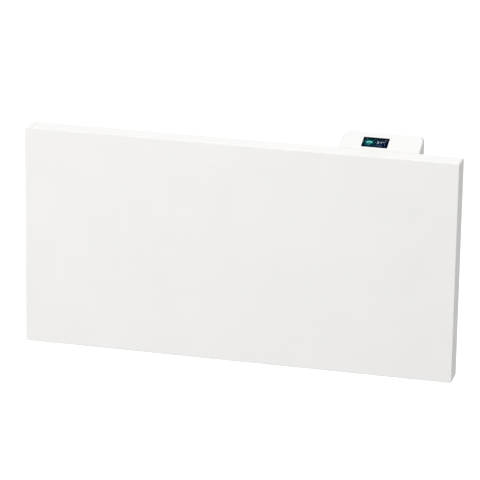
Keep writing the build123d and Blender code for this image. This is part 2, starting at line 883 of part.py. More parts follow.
def module_base():
    """The open-topped box behind the casing, with rails, columns, bosses and its openings."""
    base = base_form(0.0, module_floor, parting_level)
    inside = base_form(module_wall, module_floor + module_wall, parting_level + through)
    base -= inside
    inner_left = module_left + module_wall
    whole = base_form(0.0, module_floor, parting_level)
    base += rail(inner_left - through, board_left + rail_depth) & whole
    base += rail(board_right - rail_depth, board_right + rail_width) & whole
    for x in column_xs:
        base += rod((x, column_y, module_floor), (x, column_y, parting_level), column_radius) & whole
    for x, z in fixing_points():
        boss_end = (x, casing_back + module_wall + fixing_boss_height, z)
        base += rod((x, casing_back + module_wall / 2, z), boss_end, fixing_boss_radius)
        base -= rod((x, casing_back - through, z), boss_end, screw_shank_radius)
    half_groove = rail_clearance / 2
    groove = block(
        (board_left - half_groove, board_right + half_groove),
        (board_face - half_groove, board_face + board_thickness + half_groove),
        (board_bottom, parting_level + through),
    )
    base -= groove
    for x in column_xs:
        shoulder = parting_level - cover_screw_length + cover_screw_grip
        start = (x, column_y, module_floor - through)
        base -= rod(start, (x, column_y, shoulder), cover_head_radius + head_side_clearance)
        base -= rod(start, (x, column_y, parting_level + through), screw_shank_radius + lip_clearance)
    lip_space = base_form(module_wall, parting_level - lip_height - lip_clearance, parting_level + through)
    lip_space -= base_form(
        module_wall + 2 * lip_clearance + lip_thickness,
        parting_level - 2 * lip_height,
        parting_level + 2 * through,
    )
    base -= lip_space
    below = module_floor - through
    above = module_floor + module_wall + through
    base -= gland_rod(below, above, gland_thread_radius)
    base -= rod((sensor_x, sensor_y, below), (sensor_x, sensor_y, above), sensor_stem_radius)
    base -= rod(
        (grommet_x, casing_back - through, grommet_level),
        (grommet_x, casing_back + module_wall + through, grommet_level),
        grommet_hole_radius,
    )
    base -= block(
        (module_right - module_wall - through, module_right + through),
        (switch_y - switch_body_depth / 2, switch_y + switch_body_depth / 2),
        (switch_z - switch_body_height / 2, switch_z + switch_body_height / 2),
    )
    return base


def module_screws():
    """The screws from inside the casing into the base's bosses."""
    length = casing_sheet + module_wall + fixing_boss_height - fixing_screw_short
    return [pan_head_screw((x, casing_inside, z), (0, 1, 0), length) for x, z in fixing_points()]


def cover_screws():
    """The long screws up through the base's columns into the cover's posts."""
    screws = []
    for x in column_xs:
        seat = parting_level - cover_screw_length + cover_screw_grip
        shank = rod((x, column_y, seat), (x, column_y, parting_level + cover_screw_grip), screw_shank_radius)
        head = rod((x, column_y, seat - screw_head_height), (x, column_y, seat), cover_head_radius)
        screws.append(shank + head)
    return screws


def display_window():
    """The flush window in the cover's pocket."""
    outline = RectangleRounded(display_width, display_height, window_corner)
    return extrude(slope_plane(0, 0, window_thickness) * outline, amount=window_thickness)


def display_panel():
    """The picture panel against the cover's underside."""
    depth = module_wall + display_panel_thickness
    outline = Rectangle(display_width + 2 * panel_margin, display_height + 2 * panel_margin)
    return extrude(slope_plane(0, 0, depth) * outline, amount=display_panel_thickness)


def display_board():
    """The circuit board under the panel, on the cover's four posts."""
    depth = module_wall + display_panel_thickness + board_thickness
    outline = Rectangle(display_board_width, display_board_height)
    board = extrude(slope_plane(0, 0, depth) * outline, amount=board_thickness)
    for x in (-display_post_x, display_post_x):
        for y in (-display_post_y, display_post_y):
            hole = slope_plane(x, y, depth + through) * Circle(small_screw_radius)
            board -= extrude(hole, amount=board_thickness + 2 * through)
    return board


def display_screws():
    """Small screws through the display board into the posts."""
    screws = []
    depth = module_wall + display_panel_thickness + board_thickness
    for x in (-display_post_x, display_post_x):
        for y in (-display_post_y, display_post_y):
            seat = slope_plane(x, y, depth)
            shank_length = board_thickness + display_panel_thickness / 2
            shank = extrude(seat * Circle(small_screw_radius), amount=shank_length)
            head = extrude(seat * Circle(small_head_radius), amount=-small_head_height)
            screws.append(shank + head)
    return screws


def ribbon_cable():
    """The flat cable from the display board's underside down to the power board's face."""
    depth = module_wall + display_panel_thickness + board_thickness
    board_top = board_bottom + board_height
    y = board_face - ribbon_thickness
    top = slope_height(y, depth)
    low = board_top - ribbon_overlap
    outline = [
        (y, low),
        (board_face, low),
        (board_face, slope_height(board_face, depth)),
        (y, top),
    ]
    return side_prism(outline, display_x - ribbon_width / 2, display_x + ribbon_width / 2)


def on_board(size, place):
    """A box of (x, y, z) size standing on the power board's face, its middle at a place on it."""
    x = board_left + place[0]
    z = board_bottom + place[1]
    xs = (x - size[0] / 2, x + size[0] / 2)
    zs = (z - size[2] / 2, z + size[2] / 2)
    return block(xs, (board_face - size[1], board_face), zs)


def power_board():
    """The main circuit board, upright in the base's rails."""
    return block(
        (board_left, board_right),
        (board_face, board_face + board_thickness),
        (board_bottom, board_bottom + board_height),
    )


def softened(shape):
    """A moulded block: the edges of the face away from the board are rounded."""
    return fillet(shape.faces().sort_by(Axis.Y)[0].edges(), part_edge_radius)


def board_capacitors():
    """One box capacitor and the round cans beside it."""
    parts = [softened(on_board(film_size, film_place))]
    for place in can_places:
        x = board_left + place[0]
        z = board_bottom + place[1]
        can = rod((x, board_face - can_height, z), (x, board_face, z), can_radius)
        parts.append(softened(can))
    return parts


def terminal_block():
    """The screw terminals, with a wire entry below and a screw well in front at each pole."""
    place = (board_right - board_left - terminal_inset, terminal_rise)
    block_solid = softened(on_board(terminal_size, place))
    pitch = terminal_size[0] / terminal_poles
    first = board_left + place[0] - (terminal_poles - 1) * pitch / 2
    low = board_bottom + terminal_rise - terminal_size[2] / 2
    middle = board_face - terminal_size[1] / 2
    for pole in range(terminal_poles):
        x = first + pole * pitch
        start = (x, middle, low - through)
        block_solid -= rod(start, (x, middle, low + terminal_entry_depth), terminal_entry_radius)
        front = board_face - terminal_size[1]
        well = (x, front - through, board_bottom + terminal_rise)
        well_end = (x, front + terminal_well_depth, board_bottom + terminal_rise)
        block_solid -= rod(well, well_end, terminal_entry_radius)
    return block_solid


# Cable gland, room sensor and switch


def gland_rod(z_low, z_high, radius):
    """A round bar on the gland's axis."""
    return rod((gland_x, -gland_from_wall, z_low), (gland_x, -gland_from_wall, z_high), radius)


def cable_gland():
    """The gland's body: threaded sleeve through the floor, hexagonal collar and tail, bored through."""
    body = gland_rod(gland_bottom, gland_top, gland_thread_radius)
    collar_start = (gland_x, -gland_from_wall, module_floor - gland_collar_height)
    body += hexagon(collar_start, (0, 0, 1), gland_collar_radius, gland_collar_height)
    return body - gland_rod(gland_bottom - through, gland_top + through, gland_bore_radius)


def gland_lock_nut():
    """The hexagonal nut on the sleeve inside the module."""
    start = (gland_x, -gland_from_wall, module_floor + module_wall)
    nut = hexagon(start, (0, 0, 1), gland_collar_radius, gland_nut_height)
    return nut - gland_rod(start[2] - through, gland_top + through, gland_thread_radius)


def gland_cap():
    """The ribbed cap nut on the gland's tail."""
    high = module_floor - gland_collar_height
    low = high - cap_height
    cap = gland_rod(low, high, cap_radius)
    cap = fillet(cap.faces().sort_by(Axis.Z)[0].edges(), cap_radius / 4)
    for index in range(cap_ribs):
        angle = 360.0 * index / cap_ribs
        groove = Pos(cap_radius + cap_rib_depth, 0, (low + high) / 2 + cap_height / 4) * Cylinder(
            2 * cap_rib_depth, cap_height
        )
        cap -= Pos(gland_x, -gland_from_wall, 0) * Rot(0, 0, angle) * groove
    cap -= gland_rod(gland_bottom, high + through, gland_thread_radius)
    return cap - gland_rod(low - through, high, gland_bore_radius + cap_mouth_clearance)


def room_sensor():
    """The air sensor's cap below the module's floor, slotted, with a stem through the floor."""
    low = module_floor - sensor_height
    cap = rod((sensor_x, sensor_y, low), (sensor_x, sensor_y, module_floor), sensor_radius)
    cap = fillet(cap.faces().sort_by(Axis.Z)[0].edges(), sensor_radius / 3)
    for offset in (-2 * sensor_slot, 0.0, 2 * sensor_slot):
        cap -= block(
            (sensor_x + offset - sensor_slot / 2, sensor_x + offset + sensor_slot / 2),
            (sensor_y - sensor_radius - through, sensor_y + sensor_radius + through),
            (low - through, low + sensor_height / 2),
        )
    top = module_floor + module_wall + sensor_stem_overhang
    return cap + rod((sensor_x, sensor_y, module_floor), (sensor_x, sensor_y, top), sensor_stem_radius)


def switch_box(depth, height, x_range):
    """A box centred on the switch, with its depth along Y and its height along Z."""
    return block(
        x_range, (switch_y - depth / 2, switch_y + depth / 2), (switch_z - height / 2, switch_z + height / 2)
    )


def rocker_housing():
    """The switch's body behind its bezel, hollow for the key, with a seat for each pivot stub."""
    bezel = switch_box(bezel_depth, bezel_height, (module_right, module_right + bezel_thickness))
    bezel = fillet(bezel.edges().filter_by(Axis.X), bezel_corner)
    bezel = fillet(bezel.faces().sort_by(Axis.X)[-1].edges(), bezel_edge)
    body_xs = (module_right - switch_body_length, module_right)
    body = switch_box(switch_body_depth, switch_body_height, body_xs)
    cavity_depth = key_width + 2 * key_clearance
    cavity_height = switch_body_height - 2 * switch_wall
    cavity_xs = (key_pivot_x - switch_cavity_depth, module_right + bezel_thickness + through)
    cavity = switch_box(cavity_depth, cavity_height, cavity_xs)
    housing = bezel + body - cavity
    reach = switch_body_depth / 2 + through
    ends = [(key_pivot_x, switch_y + side * reach, switch_z) for side in (-1, 1)]
    housing -= rod(ends[0], ends[1], pivot_radius + running_clearance)
    back = module_right - switch_body_length
    ys = (switch_y - switch_tab_thickness / 2, switch_y + switch_tab_thickness / 2)
    for side in (-1, 1):
        middle = switch_z + side * switch_tab_offset
        zs = (middle - switch_tab_width / 2, middle + switch_tab_width / 2)
        housing += block((back - switch_tab_length, back), ys, zs)
    return housing


def rocker_key():
    """The key at rest, its lower end pressed in, with a pivot stub at each side."""
    outline = [
        (-key_heel, 0.0),
        (key_end_low, -key_half_height),
        (key_end_high, -key_half_height),
        (key_dip, 0.0),
        (key_end_high, key_half_height),
        (key_end_low, key_half_height),
    ]
    plane = Plane(origin=(0, -key_width / 2, 0), x_dir=(1, 0, 0), z_dir=(0, -1, 0))
    key = extrude(plane * Polygon(*outline, align=None), amount=key_width, dir=(0, 1, 0))
    reach = switch_body_depth / 2
    key += rod((0, -reach, 0), (0, reach, 0), pivot_radius)
    return Pos(key_pivot_x, switch_y, switch_z) * Rot(0, key_rock, 0) * key


# Wall bracket


def upright():
    """The right-hand channel: web, two flanges with cradles, and the shelf for the lock."""
    half = channel_width / 2
    xs = (upright_x - half, upright_x + half)
    channel = block(xs, (-channel_depth, 0), (pivot_level, channel_flange_top))
    channel = fillet(channel.edges().filter_by(Axis.Z).group_by(Axis.Y)[-1], channel_bend)
    hollow_xs = (xs[0] + bracket_sheet, xs[1] - bracket_sheet)
    hollow_zs = (pivot_level - through, channel_flange_top + through)
    channel -= block(hollow_xs, (-channel_depth - through, -bracket_sheet), hollow_zs)
    web = block(xs, (-bracket_sheet, 0), (pivot_level - bracket_tail, bracket_top))
    web = fillet(web.edges().filter_by(Axis.Y).group_by(Axis.Z)[0], shelf_corner)
    shelf = block(xs, (-shelf_depth, 0), (bracket_top - bracket_sheet, bracket_top))
    shelf = fillet(shelf.edges().filter_by(Axis.Z).group_by(Axis.Y)[0], shelf_corner)
    frame = channel + web + shelf
    lip_top = pivot_level + cradle_lip
    for x_low in (xs[0], xs[1] - bracket_sheet):
        outer = (x_low + bracket_sheet, pivot_y, pivot_level)
        disc = rod((x_low, pivot_y, pivot_level), outer, cradle_radius)
        above = block(
            (x_low - through, x_low + bracket_sheet + through),
            (pivot_y - 2 * cradle_radius, -channel_depth),
            (lip_top, lip_top + cradle_radius),
        )
        frame += disc - above
    slot_radius = pin_radius + running_clearance
    wide = (xs[0] - through, xs[1] + through)
    frame -= rod((wide[0], pivot_y, pivot_level), (wide[1], pivot_y, pivot_level), slot_radius)
    slot_limits = (pivot_y - slot_radius, pivot_y + slot_radius)
    frame -= block(wide, slot_limits, (pivot_level, lip_top + through))
    for level in (-hole_level, hole_level):
        frame -= rod((upright_x, -bracket_sheet - through, level), (upright_x, through, level), hole_radius)
    shaft_hole_radius = lock_shaft_radius + running_clearance
    start = (upright_x, lock_y, bracket_top - bracket_sheet - through)
    frame -= rod(start, (upright_x, lock_y, bracket_top + through), shaft_hole_radius)
    for x, y, z in rivet_places():
        frame -= rod((x - bracket_sheet, y, z), (x + 2 * bracket_sheet, y, z), rivet_radius)
    return frame


def rivet_places():
    """Where the crossbars' right-hand tabs are riveted to the upright's inner flange."""
    x = upright_x - channel_width / 2
    y = -(channel_depth + crossbar_wall_gap + crossbar_sheet) / 2
    return [
        (x, y, level + offset)
        for level in (-crossbar_level, crossbar_level)
        for offset in (-rivet_offset, rivet_offset)
    ]


def crossbar(level):
    """A flat bar between the uprights, its ends folded forwards along their flanges."""
    end = upright_x - channel_width / 2
    zs = (level - crossbar_height / 2, level + crossbar_height / 2)
    back = -crossbar_wall_gap
    bar = block((-end, end), (back - crossbar_sheet, back), zs)
    for side in (-1, 1):
        tab_xs = sorted((side * end, side * (end - crossbar_sheet)))
        bar += block(tab_xs, (-channel_depth, back), zs)
    for x, y, z in rivet_places():
        if zs[0] < z < zs[1]:
            bar -= rod((-x - through, y, z), (-x + 2 * crossbar_sheet, y, z), rivet_radius)
            bar -= rod((x - 2 * crossbar_sheet, y, z), (x + through, y, z), rivet_radius)
    return bar


def bracket_rivets():
    """The rivets that join the crossbars to the uprights."""
    rivets = []
    for x, y, z in rivet_places():
        start = x - crossbar_sheet
        end = x + bracket_sheet
        rivet = rod((start, y, z), (end, y, z), rivet_radius)
        rivet += rod((start - rivet_head_height, y, z), (start, y, z), rivet_head_radius)
        rivet += rod((end, y, z), (end + rivet_head_height, y, z), rivet_head_radius)
        rivets += [rivet, flipped(rivet)]
    return rivets


def rest_buffers():
    """Rubber strips on the shelves' front edges, which the casing's back leans on."""
    buffers = []
    front = casing_back + buffer_clearance
    zs = (bracket_top + buffer_leg_thickness - buffer_height, bracket_top + buffer_leg_thickness)
    for side in (-1, 1):
        x = side * upright_x
        xs = (x - buffer_width / 2, x + buffer_width / 2)
        strip = block(xs, (front, -shelf_depth), zs)
        strip += block(xs, (-shelf_depth, -shelf_depth + buffer_leg), (bracket_top, zs[1]))
        buffers.append(strip)
    return buffers


# Hangers, pins, locks and keepers


def hanger():
    """The right-hand hanger: a foot on the casing's back and two ears that hold the pin."""
    inner = channel_width / 2 + hanger_side_clearance
    zs = (pivot_level - hanger_height / 2, pivot_level + hanger_height / 2)
    foot_half = inner + hanger_sheet + hanger_foot
    foot_ys = (casing_back, casing_back + hanger_sheet)
    part = block((upright_x - foot_half, upright_x + foot_half), foot_ys, zs)
    part = fillet(part.edges().filter_by(Axis.Y), hanger_corner)
    for x_low in (upright_x - inner - hanger_sheet, upright_x + inner):
        xs = (x_low, x_low + hanger_sheet)
        outline = [
            (casing_back, zs[0]),
            (pivot_y, pivot_level - ear_radius),
            (pivot_y, pivot_level + ear_radius),
            (casing_back, zs[1]),
        ]
        ear = side_prism(outline, *xs)
        ear += rod((xs[0], pivot_y, pivot_level), (xs[1], pivot_y, pivot_level), ear_radius)
        part += ear
    start = (upright_x - foot_half, pivot_y, pivot_level)
    return part - rod(start, (upright_x + foot_half, pivot_y, pivot_level), pin_radius)


def hinge_pin():
    """The right-hand pin through the hanger's ears, with a head on its outer end."""
    half = channel_width / 2 + hanger_side_clearance + hanger_sheet
    left = (upright_x - half - pin_overhang, pivot_y, pivot_level)
    right = (upright_x + half, pivot_y, pivot_level)
    pin = rod(left, right, pin_radius)
    return pin + rod(right, (right[0] + pin_head_thickness, pivot_y, pivot_level), pin_head_radius)


def keeper():
    """The left-hand keeper: a foot on the casing's back, an arm, and the tab that the cam holds."""
    arm_x = -upright_x + keeper_arm_offset
    middle = (cam_bottom + cam_top) / 2
    foot_zs = (middle - keeper_height / 2, middle + keeper_height / 2)
    tab_front = lock_y + cam_half_width + lock_clearance
    tab_zs = (cam_top - keeper_tab_height, cam_top)
    foot = block((arm_x, arm_x + keeper_foot), (casing_back, casing_back + keeper_sheet), foot_zs)
    outline = [
        (casing_back, foot_zs[0]),
        (casing_back + keeper_sheet, foot_zs[0]),
        (tab_front, tab_zs[0]),
        (tab_front + keeper_sheet, tab_zs[0]),
        (tab_front + keeper_sheet, tab_zs[1]),
        (casing_back, tab_zs[1]),
    ]
    arm = side_prism(outline, arm_x, arm_x + keeper_sheet)
    tab_left = -upright_x + cam_reach - keeper_tab_overlap
    tab = block((tab_left, arm_x), (tab_front, tab_front + keeper_sheet), tab_zs)
    return foot + arm + tab


def lock_cam():
    """The left-hand cam and its shaft; at rest it points to the room and lets the keeper pass."""
    x = -upright_x
    cam = rod((x, lock_y, cam_bottom), (x, lock_y, cam_top), cam_hub_radius)
    tip = lock_y - cam_reach + cam_half_width
    cam += block((x - cam_half_width, x + cam_half_width), (tip, lock_y), (cam_bottom, cam_top))
    cam += rod((x, tip, cam_bottom), (x, tip, cam_top), cam_half_width)
    cam += rod((x, lock_y, cam_top), (x, lock_y, knob_bottom), lock_shaft_radius)
    half = lock_square / 2
    square_zs = (knob_bottom, knob_bottom + knob_height)
    return cam + block((x - half, x + half), (lock_y - half, lock_y + half), square_zs)


def lock_knob():
    """The left-hand knob: a disc above the shelf with a grip across it, square on the cam's shaft."""
    x = -upright_x
    knob = rod((x, lock_y, knob_bottom), (x, lock_y, knob_bottom + knob_height), knob_radius)
    knob = fillet(knob.faces().sort_by(Axis.Z)[-1].edges(), knob_edge_radius)
    top = knob_bottom + knob_height + grip_height
    half = grip_thickness / 2
    reach = knob_radius - grip_inset
    grip = block((x - half, x + half), (lock_y - reach, lock_y + reach), (knob_bottom, top))
    knob += fillet(grip.faces().sort_by(Axis.Z)[-1].edges(), grip_edge_radius)
    side = lock_square / 2
    socket_zs = (knob_bottom - through, knob_bottom + knob_height)
    return knob - block((x - side, x + side), (lock_y - side, lock_y + side), socket_zs)


def save(name, shape):
    """One file per node; a group of like pieces is kept as separate solids."""
    whole = Compound(children=shape) if isinstance(shape, list) else shape
    export_step(whole, f"parts/{name}.step")


nodes = {
    "front_panel": front_panel(),
    "rear_casing": rear_casing(),
    "casing_screws": casing_screws(),
    "heat_shield": heat_shield(),
    "heating_element": heating_element(),
    "heating_rod": heating_rod(),
    "element_bushes": element_bushes(),
    "element_bracket_right": element_bracket(),
    "element_bracket_left": flipped(element_bracket()),
    "element_terminals": element_terminals(),
    "overheat_cutout": overheat_cutout(),
    "live_wire": live_wire(),
    "link_wire": link_wire(),
    "neutral_wire": neutral_wire(),
    "earth_wire": earth_wire(),
    "earth_stud": earth_stud(),
    "wire_clips": wire_clips(),
    "cable_grommet": cable_grommet(),
    "module_base": module_base(),
    "module_cover": module_cover(),
    "module_screws": module_screws(),
    "cover_screws": cover_screws(),
    "display_window": display_window(),
    "display_panel": display_panel(),
    "display_board": display_board(),
    "display_screws": display_screws(),
    "ribbon_cable": ribbon_cable(),
    "power_board": power_board(),
    "relay": softened(on_board(relay_size, relay_place)),
    "power_supply": softened(on_board(supply_size, supply_place)),
    "board_capacitors": board_capacitors(),
    "terminal_block": terminal_block(),
    "cable_gland": cable_gland(),
    "gland_lock_nut": gland_lock_nut(),
    "gland_cap": gland_cap(),
    "room_sensor": room_sensor(),
    "rocker_housing": rocker_housing(),
    "rocker_key": rocker_key(),
    "bracket_upright_right": upright(),
    "bracket_upright_left": flipped(upright()),
    "crossbar_upper": crossbar(crossbar_level),
    "crossbar_lower": crossbar(-crossbar_level),
    "bracket_rivets": bracket_rivets(),
    "rest_buffers": rest_buffers(),
    "hanger_right": hanger(),
    "hanger_left": flipped(hanger()),
    "hinge_pin_right": hinge_pin(),
    "hinge_pin_left": flipped(hinge_pin()),
    "keeper_left": keeper(),
    "keeper_right": flipped(keeper()),
    "lock_cam_left": lock_cam(),
    "lock_cam_right": flipped(lock_cam()),
    "lock_knob_left": lock_knob(),
    "lock_knob_right": flipped(lock_knob()),
}

os.makedirs("parts", exist_ok=True)
for name, shape in nodes.items():
    save(name, shape)
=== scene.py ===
"""Looks of the white wall panel convector heater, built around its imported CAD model.

Metres, +X right, +Y into the wall, +Z up. The origin is on the wall, at the centre of the bracket's
screw holes. Sizes written in millimetres are turned to metres where their points are placed.
"""

from math import cos, radians, sin

import bmesh
import bpy
import numpy as np
from mathutils import Matrix, Vector


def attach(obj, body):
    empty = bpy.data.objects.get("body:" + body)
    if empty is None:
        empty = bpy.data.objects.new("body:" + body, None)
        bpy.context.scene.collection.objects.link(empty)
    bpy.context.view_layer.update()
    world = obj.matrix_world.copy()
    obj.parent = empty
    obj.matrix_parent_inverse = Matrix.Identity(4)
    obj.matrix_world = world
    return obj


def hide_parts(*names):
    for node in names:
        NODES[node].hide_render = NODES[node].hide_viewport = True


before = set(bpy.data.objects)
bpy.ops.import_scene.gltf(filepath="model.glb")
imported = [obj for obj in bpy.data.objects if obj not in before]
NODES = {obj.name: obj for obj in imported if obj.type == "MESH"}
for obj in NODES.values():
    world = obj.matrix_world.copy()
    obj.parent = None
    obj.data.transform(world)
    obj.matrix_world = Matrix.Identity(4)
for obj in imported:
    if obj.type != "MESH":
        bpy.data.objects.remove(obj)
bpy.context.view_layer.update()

MM = 0.001


# Materials


def linear(hex_colour):
    """An sRGB hex colour as linear red, green and blue, with an alpha of one."""
    srgb = np.array([int(hex_colour[i : i + 2], 16) for i in (1, 3, 5)]) / 255
    low, high = srgb / 12.92, ((srgb + 0.055) / 1.055) ** 2.4
    return (*np.where(srgb <= 0.04045, low, high).tolist(), 1.0)


def add(tree, kind, values=None):
    """One shader node. A value that is a socket is linked to the input of that name or number.

    Any other value is set on that input or, where there is none, on the attribute of that name. The
    value named stops holds the positions and hex colours of a colour ramp.
    """
    node = tree.nodes.new("ShaderNode" + kind)
    for name, value in (values or {}).items():
        if name == "stops":
            elements = node.color_ramp.elements
            while len(elements) < len(value):
                elements.new(0.5)
            for element, (position, colour) in zip(elements, value):
                element.position, element.color = position, linear(colour)
            continue
        socket = node.inputs[name] if isinstance(name, int) else node.inputs.get(name)
        if isinstance(value, bpy.types.NodeSocket):
            tree.links.new(value, socket)
        elif socket is None:
            setattr(node, name, value)
        else:
            socket.default_value = value
    return node


def new_material(name, shader_values):
    """A material with a Principled shader; returns the material, its tree and the shader."""
    material = bpy.data.materials.new(name)
    material.use_nodes = True
    tree = material.node_tree
    tree.nodes.clear()
    shader = add(tree, "BsdfPrincipled", shader_values)
    add(tree, "OutputMaterial", {"Surface": shader.outputs[0]})
    return material, tree, shader


def object_coordinates(tree, stretch=(1, 1, 1)):
    """Object coordinates in metres, stretched along the axes for drawn or brushed marks."""
    place = add(tree, "TexCoord").outputs["Object"]
    return add(tree, "Mapping", {"Vector": place, "Scale": stretch}).outputs["Vector"]


def finish(
    name,
    light,
    dark,
    patch,
    grain,
    depth,
    roughness,
    spread,
    metallic=0.0,
    stretch=(1, 1, 1),
    wave=None,
    **shader_values,
):
    """A finish from two noises: patches that tint it and shift its gloss, and a grain, its relief.

    patch and grain are the real sizes of a patch and of one grain in millimetres, and depth is the
    relief of a grain. The roughness varies by spread from patch to patch. wave, if given, is the
    size and depth of a longer ripple under the grain, such as orange peel.
    """
    shader_values = {key.replace("_", " "): value for key, value in shader_values.items()}
    material, tree, shader = new_material(name, {"Metallic": metallic, **shader_values})
    place = object_coordinates(tree, stretch)

    patch_values = {"Vector": place, "Scale": 1 / (patch * MM), "Detail": 3.0}
    patches = add(tree, "TexNoise", patch_values).outputs["Fac"]
    tint = add(tree, "ValToRGB", {"Fac": patches, "stops": [(0.3, dark), (0.7, light)]})
    tree.links.new(tint.outputs["Color"], shader.inputs["Base Color"])
    gloss_values = {0: patches, 1: 0.25, 2: 0.75, 3: roughness - spread, 4: roughness + spread}
    gloss = add(tree, "MapRange", gloss_values).outputs[0]
    tree.links.new(gloss, shader.inputs["Roughness"])

    grain_values = {"Vector": place, "Scale": 1 / (grain * MM), "Detail": 2.0}
    fine = add(tree, "TexNoise", grain_values).outputs["Fac"]
    relief = add(tree, "Bump", {"Height": fine, "Distance": depth * MM, "Strength": 1.0})
    if wave:
        size, height = wave
        wave_values = {"Vector": place, "Scale": 1 / (size * MM), "Detail": 1.0}
        ripple = add(tree, "TexNoise", wave_values).outputs["Fac"]
        under = add(tree, "Bump", {"Height": ripple, "Distance": height * MM, "Strength": 1.0})
        tree.links.new(under.outputs[0], relief.inputs["Normal"])
    tree.links.new(relief.outputs[0], shader.inputs["Normal"])
    return material


# Polyester powder coat on folded steel: satin. Its melt leaves orange peel of about 3 mm and a
# faint fine grain.
powder_coat = finish(
    "polyester powder coat, satin white", "#F3F2F0", "#F1F0EE", patch=90, grain=0.8, depth=0.004,
    roughness=0.42, spread=0.03, wave=(3.0, 0.006), Specular_IOR_Level=0.15,
)

JOINT_FROM_MIDDLE = 378  # mm, which is 12 mm in from the tray's left end
JOINT_FRONT = -91.5  # Y in mm where the joint starts, near the end of the front bend


def paint_joint_shade(material):
    """The hairlines where the tray's returns butt, across the top and bottom ones at the left, as
    painted shade: a grey line mixed into the coat's colour.
    """
    tree = material.node_tree
    shader = next(node for node in tree.nodes if node.type == "BSDF_PRINCIPLED")
    place = add(tree, "SeparateXYZ", {"Vector": object_coordinates(tree)}).outputs
    from_joint = {"operation": "ADD", 0: place["X"], 1: JOINT_FROM_MIDDLE * MM}
    beside = add(tree, "Math", from_joint).outputs[0]
    away = add(tree, "Math", {"operation": "ABSOLUTE", 0: beside}).outputs[0]
    # The joint is under 0.2 mm wide; its painted shade is drawn at 0.7 mm so that it shows.
    near = add(tree, "MapRange", {0: away, 1: 0.2 * MM, 2: 0.5 * MM, 3: 1.0, 4: 0.0}).outputs[0]
    past_bend = {"operation": "GREATER_THAN", 0: place["Y"], 1: JOINT_FRONT * MM}
    behind = add(tree, "Math", past_bend).outputs[0]
    mark = add(tree, "Math", {"operation": "MULTIPLY", 0: near, 1: behind}).outputs[0]
    coat = shader.inputs["Base Color"].links[0].from_socket
    # Painted shade: the coat turns grey, #D6D5D2, along the joint, standing in for the shade that
    # falls in it.
    joint_shade = add(tree, "MixRGB", {"Fac": mark, "Color1": coat, "Color2": linear("#D6D5D2")})
    tree.links.new(joint_shade.outputs[0], shader.inputs["Base Color"])


# The satin coat carries the painted shade of the tray's butt joints.
paint_joint_shade(powder_coat)
# The same coat sprayed thinner on the pressed pan at the back: a little greyer, with less flow.
thin_coat = finish(
    "polyester powder coat, thin", "#E9E9E8", "#E5E5E4", patch=60, grain=0.7, depth=0.006,
    roughness=0.50, spread=0.04, wave=(2.0, 0.005),
)
# Moulded ABS with spark-eroded grain: matt and even, the grain drawn at 0.6 mm so that it shows.
abs_white = finish(
    "ABS moulding, spark-eroded white", "#E3E3E2", "#E1E1E0", patch=40, grain=0.6, depth=0.010,
    roughness=0.55, spread=0.02, Specular_IOR_Level=0.8,
)
# Electroplated zinc, clear passivated: bluish grey, clouded in patches of a few centimetres, with
# rolled marks.
zinc_plate = finish(
    "zinc plated steel, clear passivated", "#C3C7CC", "#A9AEB5", patch=25, grain=0.5, depth=0.004,
    roughness=0.34, spread=0.08, metallic=1.0, stretch=(1, 1, 0.25),
)
# Bright zinc on cold-headed screws: smoother and lighter than the sheet.
zinc_screw = finish(
    "bright zinc, cold-headed", "#CDD0D3", "#B9BDC2", patch=3, grain=0.3, depth=0.003,
    roughness=0.28, spread=0.05, metallic=1.0,
)
# Hot-dip aluminised sheet: pale, matt, with a spangle of 3 to 5 mm.
aluminised = finish(
    "aluminised steel sheet", "#C9CACC", "#B2B4B7", patch=4, grain=1.0, depth=0.006,
    roughness=0.45, spread=0.08, metallic=1.0,
)
# Extruded aluminium, unpolished: die lines run along X.
extruded = finish(
    "extruded aluminium, mill finish", "#D2D3D5", "#BFC1C4", patch=6, grain=0.4, depth=0.006,
    roughness=0.38, spread=0.06, metallic=1.0, stretch=(0.03, 1, 1),
)
# Stainless sheath after its first heat: straw and brown tint in bands along the rod.
tinted_steel = finish(
    "stainless sheath, heat tinted", "#A8957A", "#6F6356", patch=30, grain=0.3, depth=0.003,
    roughness=0.35, spread=0.06, metallic=1.0, stretch=(0.5, 1, 1),
)
# Steatite, fired and unglazed: chalky off-white with fine pits.
steatite = finish(
    "steatite, unglazed", "#EAE4D6", "#DDD5C4", patch=3, grain=0.3, depth=0.02,
    roughness=0.75, spread=0.05,
)
# Silicone rubber insulation: matt, slightly dusty.
silicone_brown = finish(
    "silicone insulation, brown", "#5E3520", "#4E2B19", patch=5, grain=0.4, depth=0.01,
    roughness=0.6, spread=0.05,
)
silicone_blue = finish(
    "silicone insulation, blue", "#2B5FA8", "#244F8F", patch=5, grain=0.4, depth=0.01,
    roughness=0.6, spread=0.05,
)
# Turned brass stud, plain: warm and bright.
brass = finish(
    "turned brass", "#D2B274", "#BD9A5C", patch=3, grain=0.2, depth=0.003,
    roughness=0.3, spread=0.05, metallic=1.0,
)
# Natural polyamide clips: milky and a little translucent.
nylon_natural = finish(
    "polyamide, natural", "#E6E4DC", "#DBD8CE", patch=6, grain=0.4, depth=0.008,
    roughness=0.45, spread=0.04, Subsurface_Weight=0.15, Subsurface_Scale=0.002,
)
# EPDM rubber: near black, matt, with bloom in soft patches.
epdm = finish(
    "EPDM rubber, moulded", "#2E2E2F", "#242425", patch=8, grain=0.5, depth=0.015,
    roughness=0.72, spread=0.06,
)
# White polyamide gland and knobs: moulded, satin, slightly warm.
nylon_white = finish(
    "polyamide, white moulded", "#EEEDE9", "#E8E7E2", patch=12, grain=0.5, depth=0.008,
    roughness=0.42, spread=0.04, Subsurface_Weight=0.1, Subsurface_Scale=0.002,
)
# Black glass-filled polyamide switch body: matt with fine grain.
switch_black = finish(
    "polyamide, black", "#26272A", "#1F2022", patch=6, grain=0.4, depth=0.01,
    roughness=0.5, spread=0.05,
)
# Polycarbonate key from a polished tool: deep black with clear reflections.
key_black = finish(
    "polycarbonate, gloss black", "#1B1C1E", "#151617", patch=8, grain=1.5, depth=0.001,
    roughness=0.16, spread=0.03, Coat_Weight=0.3,
)
